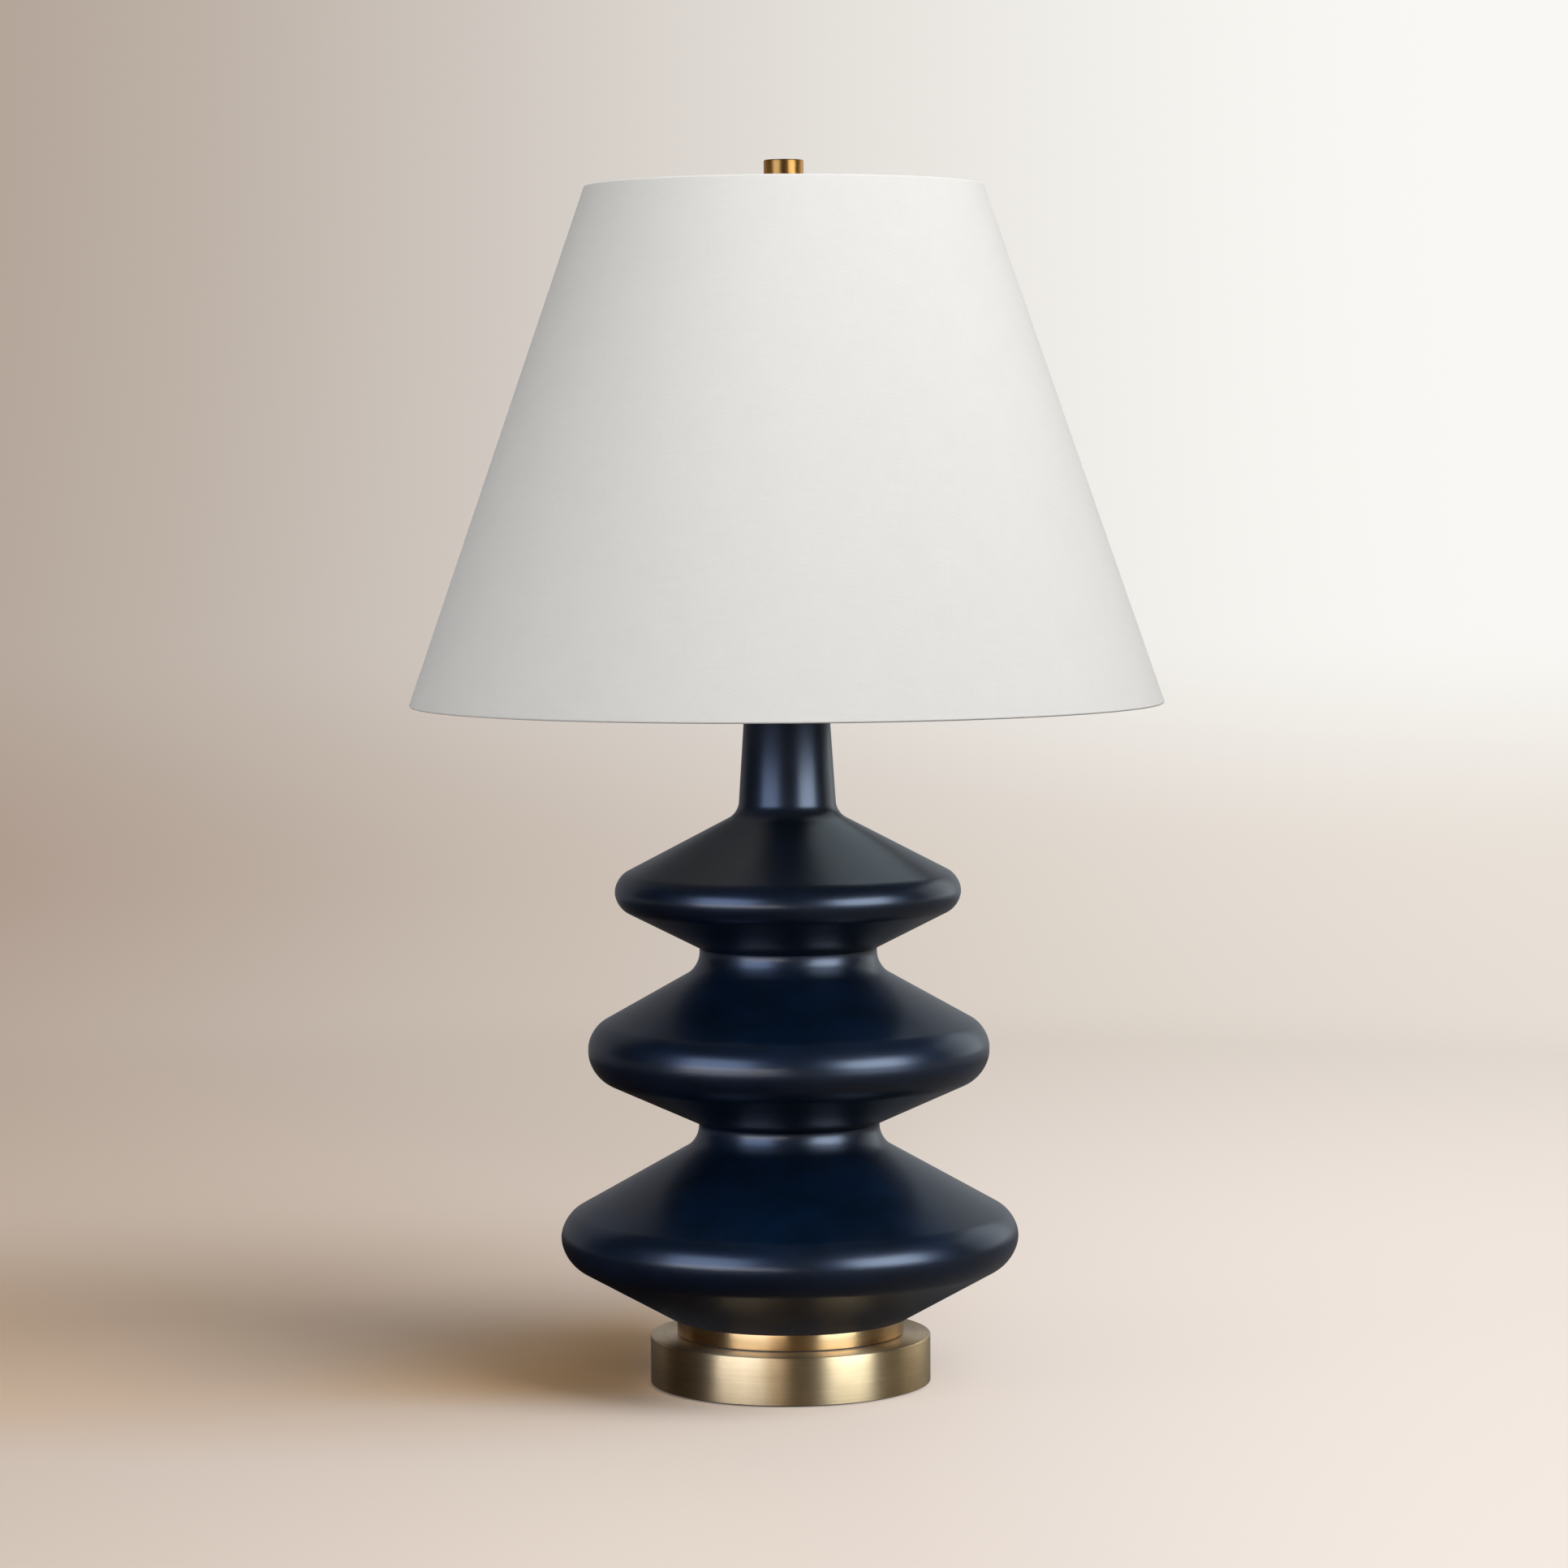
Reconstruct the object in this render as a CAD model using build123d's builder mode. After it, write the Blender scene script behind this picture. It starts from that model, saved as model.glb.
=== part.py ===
"""Table lamp with a three-lobed gourd body, a brass base and a tapered fabric shade.

Millimetres, +Z up, origin on the floor under the middle of the base. The front is -Y. The harp's legs
stand at +X and -X, the switch knob points to the front and the cord leaves at the back.
"""

import os
from math import atan, cos, radians, tan

from build123d import *

os.makedirs("parts", exist_ok=True)

# General clearances
hole_clearance = 0.2
slip_clearance = 0.05
seat_gap = 0.1

# Base disc, its weight and its pad
disc_radius = 80.7
disc_height = 27.2
disc_wall = 2.0
disc_plate = 2.4
disc_edge_round = 1.0
pad_thickness = 3.0
pad_standout = 1.0
pad_clearance = 0.5
weight_clearance = 0.4
nut_pocket_radius = 16.0
nut_pocket_depth = 12.0
relief_inner_radius = 30.0
relief_outer_radius = 66.0
relief_depth = 12.0

# Cord inlet at the back of the base
cord_bore_radius = 3.2
grommet_neck_radius = 4.9
grommet_flange_radius = 6.5
grommet_flange = 1.8
grommet_edge_round = 0.6
inlet_height = 12.0
channel_clearance = 0.5

# Brass ring between the disc and the gourd
spacer_thickness = 1.0
spacer_recess = 2.0
ring_radius = 65.3
ring_height = 9.2
ring_wall = 4.5
ring_plate = 3.0
ring_edge_round = 0.5

# Hollow threaded rod and its fasteners
rod_radius = 4.85
rod_bore_radius = 3.1
rod_end_below_nut = 1.0
nut_flats = 14.3
nut_height = 5.0
washer_radius = 10.0
washer_thickness = 1.6
lock_washer_radius = 7.6
lock_washer_thickness = 1.4

# Gourd body: radii, heights above its foot, and how far each rounded corner reaches from its point
gourd_wall = 5.0
foot_radius = 68.0
low_belly_radius = 131.6
low_belly_heights = (35.7, 57.1)
low_waist_radius = 52.0
low_waist_heights = (102.2, 112.5)
mid_belly_radius = 115.3
mid_belly_heights = (141.5, 166.0)
high_waist_radius = 51.0
high_waist_heights = (202.3, 213.4)
top_belly_radius = 99.3
top_belly_heights = (238.0, 253.6)
neck_foot_radius = 28.2
neck_foot_height = 290.8
neck_top_radius = 22.3
gourd_height = 382.0
low_belly_reaches = (11.07, 9.92)
mid_belly_reaches = (12.13, 9.93)
top_belly_reaches = (7.54, 7.55)
waist_reaches = (8.28, 0.64)
neck_reach = 6.0
foot_recess_radius = 57.0
foot_washer_thickness = 2.0
floor_hole_radius = 9.0

# Neck hardware
gasket_thickness = 1.5
neck_cap_plate = 1.6
neck_cap_wall = 1.2
neck_cap_skirt = 6.0
neck_cap_round = 0.8
neck_nut_radius = 10.5
neck_nut_height = 4.9
neck_nut_chamfer = 1.0

# Harp, its saddle and its sleeves
saddle_width = 14.0
saddle_thickness = 1.6
saddle_half_span = 33.5
saddle_bend = 3.2
saddle_arm_height = 22.4
tab_width = 6.0
tab_height = 14.0
wire_radius = 1.6
blade_width = 4.0
blade_length = 16.0
sleeve_wall = 0.8
sleeve_length = 13.0
harp_height = 243.2
harp_bow_half_width = 57.0
harp_leg_straight = 48.0
harp_low_bend_height = 105.0
harp_high_bend_height = 182.0
harp_top_half_width = 24.0
bow_bends = (34.0, 60.0, 46.0, 22.0)

# Swivelling stud on top of the harp
boss_radius = 7.0
boss_thickness = 4.6
stud_shank_radius = 3.3
stud_thread_radius = 3.1
stud_flange_radius = 8.5
stud_flange = 1.8
stud_length = 12.5
stud_chamfer = 0.5
stud_head_radius = 5.2
stud_head = 1.6
stud_washer_radius = 6.2
stud_washer_thickness = 0.8

# Shade and its frame
shade_bottom_radius = 215.9
shade_top_radius = 113.4
shade_height = 295.0
fabric_thickness = 0.8
lining_thickness = 0.5
hem_thickness = 0.5
hem_height = 9.0
ring_wire_radius = 1.5
spider_drop = 8.5
spider_washer_radius = 12.5
spider_hole_radius = 4.1
spider_washer_thickness = 1.6
arm_wire_radius = 1.5
arm_count = 3
arm_bend = 20.0
arm_flat_length = 70.0

# Finial
finial_radius = 11.3
finial_height = 19.0
finial_chamfer = 0.8
finial_collar_radius = 6.5
finial_collar_height = 2.8
insert_radius = 4.3
insert_length = 14.2
insert_end_gap = 0.5

# Lamp socket, measured up from the top of the saddle
socket_hub_radius = 7.5
socket_hub_height = 8.4
socket_cap_radius = 16.9
socket_cap_height = 22.0
socket_wall = 0.7
socket_shell_start = 16.4
socket_shell_end = 57.4
socket_bead_radius = 18.4
socket_bead_height = 2.0
liner_radius = 15.9
liner_thickness = 1.0
liner_end_gap = 2.0
phenolic_radius = 14.4
phenolic_end = 33.4
phenolic_flat = 11.0
screw_shell_thickness = 0.6
contact_thickness = 0.5
contact_width = 5.0
contact_half_length = 6.0
contact_rise = 1.0
terminal_head_radius = 3.2
terminal_head = 1.4
terminal_shank_radius = 1.6
terminal_shank = 5.0
terminal_height = 25.0
set_screw_radius = 1.6
set_screw_length = 4.0
set_screw_height = 4.2

# Turn switch in the socket
switch_height = 29.4
switch_shaft_radius = 2.0
switch_shaft_inner_end = 11.0
switch_bushing_radius = 3.4
switch_bushing_length = 4.0
knob_radius = 6.0
knob_length = 11.0
knob_gap = 1.5
knob_socket_depth = 8.0
knob_flutes = 12
knob_flute_radius = 0.8

# Bulb, measured up from its contact tip
bulb_cap_radius = 12.9
bulb_cap_wall = 0.6
bulb_cap_start = 5.0
bulb_cap_end = 26.0
bulb_tip_radius = 4.5
bulb_tip_height = 1.5
bulb_tip_round = 0.7
bulb_housing_radius = 26.0
bulb_housing_end = 56.0
bulb_housing_wall = 1.6
bulb_globe_radius = 30.0
bulb_globe_wall = 1.0
bulb_length = 110.0
board_thickness = 1.6

# Heights of the stack, from the floor up
disc_bottom = pad_standout
disc_top = disc_bottom + disc_height
disc_plate_bottom = disc_top - disc_plate
ring_bottom = disc_top + spacer_thickness
ring_top = ring_bottom + ring_height
gourd_bottom = ring_top
gourd_top = gourd_bottom + gourd_height
gasket_top = gourd_top + gasket_thickness
neck_cap_top = gasket_top + neck_cap_plate
neck_nut_top = neck_cap_top + neck_nut_height
saddle_top = neck_nut_top + saddle_thickness
harp_top = saddle_top + harp_height
boss_top = harp_top + boss_thickness / 2
boss_bottom = harp_top - boss_thickness / 2
stud_flange_top = boss_top + seat_gap + stud_flange
spider_bottom = stud_flange_top + seat_gap
spider_top = spider_bottom + spider_washer_thickness
spider_middle = (spider_bottom + spider_top) / 2
shade_top = spider_middle + spider_drop
shade_bottom = shade_top - shade_height
finial_bottom = spider_top + seat_gap
rod_hole_radius = rod_radius + hole_clearance
tip_height = saddle_top + phenolic_end + contact_thickness + contact_rise + seat_gap


def save(piece, name):
    """Label a finished sub-part and write it as its own STEP file."""
    piece.part.label = name
    export_step(piece.part, f"parts/{name}.step")


def tube(inner, outer, low, high, mode=Mode.ADD):
    """Add or cut a round tube about the lamp's axis; an inner radius of zero makes it a disc."""
    with BuildSketch(Plane.XY.offset(low)) as section:
        Circle(outer)
        if inner > 0:
            Circle(inner, mode=Mode.SUBTRACT)
    extrude(section.sketch, amount=high - low, mode=mode)


def turn(points, mode=Mode.ADD):
    """Add or cut the solid that a closed outline of radius and height makes about the lamp's axis."""
    with BuildSketch(Plane.XZ) as section:
        with BuildLine():
            Polyline(*points, close=True)
        make_face()
    revolve(section.sketch, axis=Axis.Z, mode=mode)


# Felt pad under the base
with BuildPart() as felt_pad:
    tube(0, disc_radius - disc_wall - pad_clearance, 0, pad_thickness)
save(felt_pad, "felt_pad")

# Brass shell of the base, open underneath, with the cord hole at the back
inlet_plane = Plane(origin=(0, 0, inlet_height), z_dir=(0, 1, 0))
with BuildPart() as base_disc:
    tube(0, disc_radius, disc_bottom, disc_top)
    fillet(base_disc.edges().group_by(Axis.Z)[-1], disc_edge_round)
    tube(0, disc_radius - disc_wall, disc_bottom, disc_plate_bottom, Mode.SUBTRACT)
    tube(0, rod_hole_radius, disc_plate_bottom, disc_top, Mode.SUBTRACT)
    with BuildSketch(inlet_plane):
        Circle(grommet_neck_radius + slip_clearance)
    extrude(amount=disc_radius, mode=Mode.SUBTRACT)
save(base_disc, "base_disc")

# Cast iron weight with a pocket for the nut, a ring-shaped relief and a channel for the cord
weight_radius = disc_radius - disc_wall - weight_clearance
pocket_top = pad_thickness + nut_pocket_depth
channel_half_width = grommet_flange_radius + channel_clearance
channel_top = inlet_height + channel_half_width
with BuildPart() as base_weight:
    tube(0, weight_radius, pad_thickness, disc_plate_bottom)
    tube(0, nut_pocket_radius, pad_thickness, pocket_top, Mode.SUBTRACT)
    tube(0, rod_hole_radius, pocket_top, disc_plate_bottom, Mode.SUBTRACT)
    tube(relief_inner_radius, relief_outer_radius, pad_thickness, pad_thickness + relief_depth, Mode.SUBTRACT)
    with BuildSketch(Plane.XY.offset(pad_thickness)):
        with Locations((0, weight_radius / 2 + nut_pocket_radius / 2)):
            Rectangle(2 * channel_half_width, weight_radius - nut_pocket_radius / 2)
    extrude(amount=channel_top - pad_thickness, mode=Mode.SUBTRACT)
save(base_weight, "base_weight")

# Grommet in the cord hole, with a flange on each side of the wall
wall_sag = disc_radius - (disc_radius**2 - grommet_flange_radius**2) ** 0.5
grommet_inner_face = disc_radius - disc_wall - wall_sag - seat_gap
grommet_outer_face = disc_radius + seat_gap
grommet_start = grommet_inner_face - grommet_flange
grommet_length = grommet_outer_face + grommet_flange - grommet_start
with BuildPart() as cord_grommet:
    with BuildSketch(inlet_plane.offset(grommet_start)):
        Circle(grommet_neck_radius)
    extrude(amount=grommet_length)
    with BuildSketch(inlet_plane.offset(grommet_start)):
        Circle(grommet_flange_radius)
    extrude(amount=grommet_flange)
    with BuildSketch(inlet_plane.offset(grommet_outer_face)):
        Circle(grommet_flange_radius)
    extrude(amount=grommet_flange)
    fillet(cord_grommet.edges().filter_by(GeomType.CIRCLE).group_by(Axis.Y)[-1], grommet_edge_round)
    with BuildSketch(inlet_plane.offset(grommet_start)):
        Circle(cord_bore_radius)
    extrude(amount=grommet_length, mode=Mode.SUBTRACT)
save(cord_grommet, "cord_grommet")

# Flat washer, lock washer and nut that clamp the stack from below
flat_washer_bottom = pocket_top - washer_thickness
lock_washer_bottom = flat_washer_bottom - lock_washer_thickness
nut_bottom = lock_washer_bottom - nut_height
with BuildPart() as flat_washer:
    tube(rod_hole_radius, washer_radius, flat_washer_bottom, pocket_top)
save(flat_washer, "flat_washer")

with BuildPart() as lock_washer:
    tube(rod_hole_radius, lock_washer_radius, lock_washer_bottom, flat_washer_bottom)
    with BuildSketch(Plane.XY.offset(lock_washer_bottom)):
        with Locations((lock_washer_radius, 0)):
            Rectangle(lock_washer_radius, lock_washer_thickness)
    extrude(amount=lock_washer_thickness, mode=Mode.SUBTRACT)
save(lock_washer, "lock_washer")

with BuildPart() as bottom_nut:
    with BuildSketch(Plane.XY.offset(nut_bottom)):
        RegularPolygon(nut_flats / 2, 6, major_radius=False)
        Circle(rod_radius + slip_clearance, mode=Mode.SUBTRACT)
    extrude(amount=nut_height)
save(bottom_nut, "bottom_nut")

# Hollow rod through the whole lamp, from the nut to the socket
rod_bottom = nut_bottom - rod_end_below_nut
rod_top = saddle_top + socket_hub_height - rod_end_below_nut
with BuildPart() as threaded_rod:
    tube(rod_bore_radius, rod_radius, rod_bottom, rod_top)
save(threaded_rod, "threaded_rod")

# Thin dark spacer, then the brass ring that carries the gourd
with BuildPart() as gap_spacer:
    tube(rod_hole_radius, ring_radius - spacer_recess, disc_top, ring_bottom)
save(gap_spacer, "gap_spacer")

with BuildPart() as base_ring:
    tube(0, ring_radius, ring_bottom, ring_top)
    fillet(base_ring.edges().group_by(Axis.Z)[-1], ring_edge_round)
    tube(0, ring_radius - ring_wall, ring_bottom, ring_top - ring_plate, Mode.SUBTRACT)
    tube(0, rod_hole_radius, ring_top - ring_plate, ring_top, Mode.SUBTRACT)
save(base_ring, "base_ring")

with BuildPart() as foot_washer:
    tube(rod_hole_radius, foot_recess_radius - hole_clearance, ring_top, ring_top + foot_washer_thickness)
save(foot_washer, "foot_washer")


# Gourd body
def corner_round(before, corner, after, reach):
    """Radius of the round that starts this far before a corner of the outline."""
    incoming = Vector(*corner) - Vector(*before)
    outgoing = Vector(*after) - Vector(*corner)
    return reach / tan(radians(incoming.get_angle(outgoing)) / 2)


def gourd_face(neck_extra):
    """Draw the gourd's outline as a face that reaches past its axis, with the neck made longer."""
    corners = [
        (foot_radius, 0),
        (low_belly_radius, low_belly_heights[0]),
        (low_belly_radius, low_belly_heights[1]),
        (low_waist_radius, low_waist_heights[0]),
        (low_waist_radius, low_waist_heights[1]),
        (mid_belly_radius, mid_belly_heights[0]),
        (mid_belly_radius, mid_belly_heights[1]),
        (high_waist_radius, high_waist_heights[0]),
        (high_waist_radius, high_waist_heights[1]),
        (top_belly_radius, top_belly_heights[0]),
        (top_belly_radius, top_belly_heights[1]),
        (neck_foot_radius, neck_foot_height),
        (neck_top_radius, gourd_height + neck_extra),
    ]
    reaches = [
        *low_belly_reaches,
        *waist_reaches,
        *mid_belly_reaches,
        *waist_reaches,
        *top_belly_reaches,
        neck_reach,
    ]
    rounds = []
    for before, corner, after, reach in zip(corners, corners[1:], corners[2:], reaches):
        rounds.append(corner_round(before, corner, after, reach))
    past_axis = -2 * gourd_wall
    with BuildLine() as outline:
        FilletPolyline(*corners, radius=rounds)
        Polyline(corners[-1], (past_axis, corners[-1][1]), (past_axis, 0), corners[0])
    make_face(outline.edges())


def keep_right_of_axis():
    """Cut a face off at the axis, so that it can be turned about it."""
    with Locations((low_belly_radius, gourd_height / 2)):
        Rectangle(2 * low_belly_radius, 2 * gourd_height, mode=Mode.INTERSECT)


gourd_plane = Plane(origin=(0, 0, gourd_bottom), x_dir=(1, 0, 0), z_dir=(0, -1, 0))
with BuildPart() as gourd_body:
    with BuildSketch(gourd_plane):
        gourd_face(0)
        keep_right_of_axis()
    revolve(axis=Axis.Z)
    with BuildSketch(gourd_plane):
        gourd_face(2 * gourd_wall)
        offset(amount=-gourd_wall, kind=Kind.ARC, mode=Mode.REPLACE)
        keep_right_of_axis()
    revolve(axis=Axis.Z, mode=Mode.SUBTRACT)
    tube(0, foot_recess_radius, gourd_bottom, gourd_bottom + foot_washer_thickness, Mode.SUBTRACT)
    tube(0, floor_hole_radius, gourd_bottom, gourd_bottom + 2 * gourd_wall, Mode.SUBTRACT)
save(gourd_body, "gourd_body")

# Gasket, cap and nut on top of the neck
neck_slope = (neck_foot_radius - neck_top_radius) / (gourd_height - neck_foot_height)
cap_inner_radius = neck_top_radius + neck_cap_skirt * neck_slope + hole_clearance
cap_outer_radius = cap_inner_radius + neck_cap_wall
with BuildPart() as neck_gasket:
    tube(rod_hole_radius, neck_top_radius - hole_clearance, gourd_top, gasket_top)
save(neck_gasket, "neck_gasket")

with BuildPart() as neck_cap:
    tube(rod_hole_radius, cap_outer_radius, gasket_top, neck_cap_top)
    tube(cap_inner_radius, cap_outer_radius, gourd_top - neck_cap_skirt, gasket_top)
    fillet(neck_cap.edges().group_by(Axis.Z)[-1].sort_by(SortBy.LENGTH)[-1], neck_cap_round)
save(neck_cap, "neck_cap")

with BuildPart() as neck_nut:
    tube(rod_radius + slip_clearance, neck_nut_radius, neck_cap_top, neck_nut_top)
    chamfer(neck_nut.edges().group_by(Axis.Z)[-1].sort_by(SortBy.LENGTH)[-1], neck_nut_chamfer)
save(neck_nut, "neck_nut")

# Saddle strap with two upright arms that end in narrow tabs
arm_top = saddle_top + saddle_arm_height
strap_line = saddle_half_span - saddle_thickness / 2
with BuildPart() as harp_saddle:
    with BuildSketch(Plane.XZ):
        with BuildLine():
            FilletPolyline(
                (-strap_line, arm_top),
                (-strap_line, neck_nut_top + saddle_thickness / 2),
                (strap_line, neck_nut_top + saddle_thickness / 2),
                (strap_line, arm_top),
                radius=saddle_bend,
            )
        trace(line_width=saddle_thickness)
    extrude(amount=saddle_width / 2, both=True)
    for side in (-1, 1):
        with Locations((0, side * (saddle_width + tab_width) / 4, arm_top)):
            Box(
                3 * saddle_half_span,
                (saddle_width - tab_width) / 2,
                2 * tab_height,
                mode=Mode.SUBTRACT,
            )
    tube(0, rod_hole_radius, neck_nut_top, saddle_top, Mode.SUBTRACT)
save(harp_saddle, "harp_saddle")

# Harp bow: round wire from blade to blade, with a flat boss for the stud at the top
blade_inner_face = saddle_half_span + slip_clearance
blade_thickness = wire_radius
leg_x = blade_inner_face + wire_radius / 2
blade_bottom = arm_top - tab_height
blade_top = blade_bottom + blade_length
with BuildPart() as harp_bow:
    with BuildLine(Plane.XZ) as right_half:
        FilletPolyline(
            (leg_x, blade_top),
            (leg_x, saddle_top + harp_leg_straight),
            (harp_bow_half_width, saddle_top + harp_low_bend_height),
            (harp_bow_half_width, saddle_top + harp_high_bend_height),
            (harp_top_half_width, harp_top),
            (0, harp_top),
            radius=bow_bends,
        )
    with BuildSketch(Plane.XY.offset(blade_top)):
        with Locations((leg_x, 0)):
            Circle(wire_radius)
    sweep(path=right_half.wires()[0])
    with BuildSketch(Plane.XY.offset(blade_bottom)):
        with Locations((leg_x, 0)):
            Rectangle(blade_thickness, blade_width)
    extrude(amount=blade_length + wire_radius)
    mirror(about=Plane.YZ)
    tube(0, boss_radius, boss_bottom, boss_top)
    tube(0, stud_shank_radius + slip_clearance, boss_bottom, boss_top, Mode.SUBTRACT)
save(harp_bow, "harp_bow")


# Sleeves that lock each harp leg to the saddle
def harp_sleeve(side, name):
    """Make the sleeve round one tab and blade; side is 1 at +X and -1 at -X."""
    inner_low = saddle_half_span - saddle_thickness - hole_clearance
    inner_high = leg_x + wire_radius + hole_clearance
    inner_span = inner_high - inner_low
    inner_depth = tab_width + 2 * hole_clearance
    with BuildPart() as sleeve:
        with BuildSketch(Plane.XY.offset(blade_bottom)):
            with Locations((side * (inner_low + inner_high) / 2, 0)):
                RectangleRounded(inner_span + 2 * sleeve_wall, inner_depth + 2 * sleeve_wall, 2 * sleeve_wall)
                Rectangle(inner_span, inner_depth, mode=Mode.SUBTRACT)
        extrude(amount=sleeve_length)
    save(sleeve, name)


harp_sleeve(1, "harp_sleeve_right")
harp_sleeve(-1, "harp_sleeve_left")

# Stud that turns in the harp's boss, held by a riveted washer
stud_washer_top = boss_bottom - seat_gap
stud_washer_bottom = stud_washer_top - stud_washer_thickness
stud_top = spider_top + stud_length - seat_gap
with BuildPart() as harp_stud:
    tube(0, stud_head_radius, stud_washer_bottom - stud_head, stud_washer_bottom)
    tube(0, stud_shank_radius, stud_washer_bottom, boss_top + seat_gap)
    tube(0, stud_flange_radius, boss_top + seat_gap, stud_flange_top)
    tube(0, stud_thread_radius, stud_flange_top, stud_top)
    chamfer(harp_stud.edges().group_by(Axis.Z)[-1], stud_chamfer)
save(harp_stud, "harp_stud")

with BuildPart() as stud_washer:
    tube(stud_shank_radius + slip_clearance, stud_washer_radius, stud_washer_bottom, stud_washer_top)
save(stud_washer, "stud_washer")


# Shade: layers of the cone, counted inward from its outer face
shade_slope = (shade_bottom_radius - shade_top_radius) / shade_height
slant = cos(atan(shade_slope))


def shade_radius(height, depth):
    """Radius of the cone at a height above the floor, that far inside its outer face."""
    return shade_bottom_radius - (height - shade_bottom) * shade_slope - depth / slant


def cone_layer(depth, thickness, low, high):
    """Add one layer of the cone between two heights."""
    turn(
        [
            (shade_radius(low, depth), low),
            (shade_radius(high, depth), high),
            (shade_radius(high, depth + thickness), high),
            (shade_radius(low, depth + thickness), low),
        ]
    )


with BuildPart() as shade_fabric:
    cone_layer(0, fabric_thickness, shade_bottom, shade_top)
save(shade_fabric, "shade_fabric")

skin = fabric_thickness + lining_thickness
layer_low = shade_bottom + hem_thickness + slip_clearance
layer_high = shade_top - hem_thickness - slip_clearance
with BuildPart() as shade_lining:
    cone_layer(fabric_thickness, lining_thickness, layer_low, layer_high)
save(shade_lining, "shade_lining")

bottom_ring_height = layer_low + ring_wire_radius
top_ring_height = layer_high - ring_wire_radius
bottom_ring_radius = shade_radius(bottom_ring_height, skin + ring_wire_radius + slip_clearance)
top_ring_radius = shade_radius(top_ring_height, skin + ring_wire_radius + slip_clearance)


def wire_ring(radius, height, wire, mode=Mode.ADD):
    """Add or cut a ring of round wire about the lamp's axis."""
    with BuildSketch(Plane.XZ) as section:
        with Locations((radius, height)):
            Circle(wire)
    revolve(section.sketch, axis=Axis.Z, mode=mode)


with BuildPart() as shade_top_ring:
    wire_ring(top_ring_radius, top_ring_height, ring_wire_radius)
save(shade_top_ring, "shade_top_ring")

with BuildPart() as shade_bottom_ring:
    wire_ring(bottom_ring_radius, bottom_ring_height, ring_wire_radius)
save(shade_bottom_ring, "shade_bottom_ring")


def hem(edge, turned_up, ring_radius_here):
    """Add a folded hem: under the cone's edge, round the wire ring and along its inside."""
    fold = edge + turned_up * hem_thickness
    end = edge + turned_up * hem_height
    inner = ring_radius_here - ring_wire_radius - slip_clearance
    lean = turned_up * hem_height * shade_slope
    turn(
        [
            (shade_radius(edge, fabric_thickness), edge),
            (shade_radius(fold, fabric_thickness), fold),
            (inner, fold),
            (inner - max(lean, 0), end),
            (inner - max(lean, 0) - hem_thickness, end),
            (inner - hem_thickness, edge),
        ]
    )


with BuildPart() as bottom_hem:
    hem(shade_bottom, 1, bottom_ring_radius)
save(bottom_hem, "bottom_hem")

with BuildPart() as top_hem:
    hem(shade_top, -1, top_ring_radius)
    with BuildSketch(Plane.XY.offset(shade_top - 2 * hem_height)):
        with PolarLocations(top_ring_radius, arm_count):
            Rectangle(2 * hem_height, 2 * (arm_wire_radius + hole_clearance))
    extrude(amount=2 * hem_height - hem_thickness, mode=Mode.SUBTRACT)
save(top_hem, "top_hem")

# Spider: three wire arms welded to a washer, their ends cut to the top ring's wire
with BuildPart() as spider:
    tube(0, spider_washer_radius, spider_bottom, spider_top)
    with BuildLine(Plane.XZ) as arm_path:
        FilletPolyline(
            (spider_washer_radius - arm_wire_radius, spider_middle),
            (arm_flat_length, spider_middle),
            (top_ring_radius, top_ring_height),
            radius=arm_bend,
        )
    with BuildSketch(Plane(arm_path.wires()[0] @ 0, z_dir=(1, 0, 0))):
        Circle(arm_wire_radius)
    sweep(path=arm_path.wires()[0])
    arm = spider.part
    for index in range(1, arm_count):
        add(arm.rotate(Axis.Z, 360 * index / arm_count))
    wire_ring(top_ring_radius, top_ring_height, ring_wire_radius + slip_clearance, Mode.SUBTRACT)
    tube(0, spider_hole_radius, spider_bottom - arm_wire_radius, spider_top + arm_wire_radius, Mode.SUBTRACT)
save(spider, "spider")

# Finial drum with its collar, and the threaded insert inside it
drum_bottom = finial_bottom + finial_collar_height
finial_top = drum_bottom + finial_height
bore_top = finial_bottom + insert_length + insert_end_gap
with BuildPart() as finial_knob:
    tube(0, finial_collar_radius, finial_bottom, drum_bottom)
    tube(0, finial_radius, drum_bottom, finial_top)
    chamfer(finial_knob.edges().group_by(Axis.Z)[-1], finial_chamfer)
    tube(0, insert_radius + slip_clearance, finial_bottom, bore_top, Mode.SUBTRACT)
save(finial_knob, "finial_knob")

with BuildPart() as finial_insert:
    tube(stud_thread_radius + slip_clearance, insert_radius, finial_bottom, finial_bottom + insert_length)
save(finial_insert, "finial_insert")

# Socket cap: a hub on the rod, a floor and a skirt
hub_top = saddle_top + socket_hub_height
cap_top = saddle_top + socket_cap_height
screw_plane = Plane(origin=(0, 0, saddle_top + set_screw_height), z_dir=(1, 0, 0))
with BuildPart() as socket_cap:
    tube(rod_radius + slip_clearance, socket_hub_radius, saddle_top, hub_top + socket_wall)
    tube(rod_radius + slip_clearance, socket_cap_radius, hub_top, hub_top + socket_wall)
    tube(socket_cap_radius - socket_wall, socket_cap_radius, hub_top, cap_top)
    with BuildSketch(screw_plane):
        Circle(set_screw_radius + slip_clearance)
    extrude(amount=socket_hub_radius + set_screw_length, mode=Mode.SUBTRACT)
save(socket_cap, "socket_cap")

with BuildPart() as socket_set_screw:
    with BuildSketch(screw_plane.offset(rod_radius + slip_clearance)):
        Circle(set_screw_radius)
    extrude(amount=set_screw_length)
save(socket_set_screw, "socket_set_screw")

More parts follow.
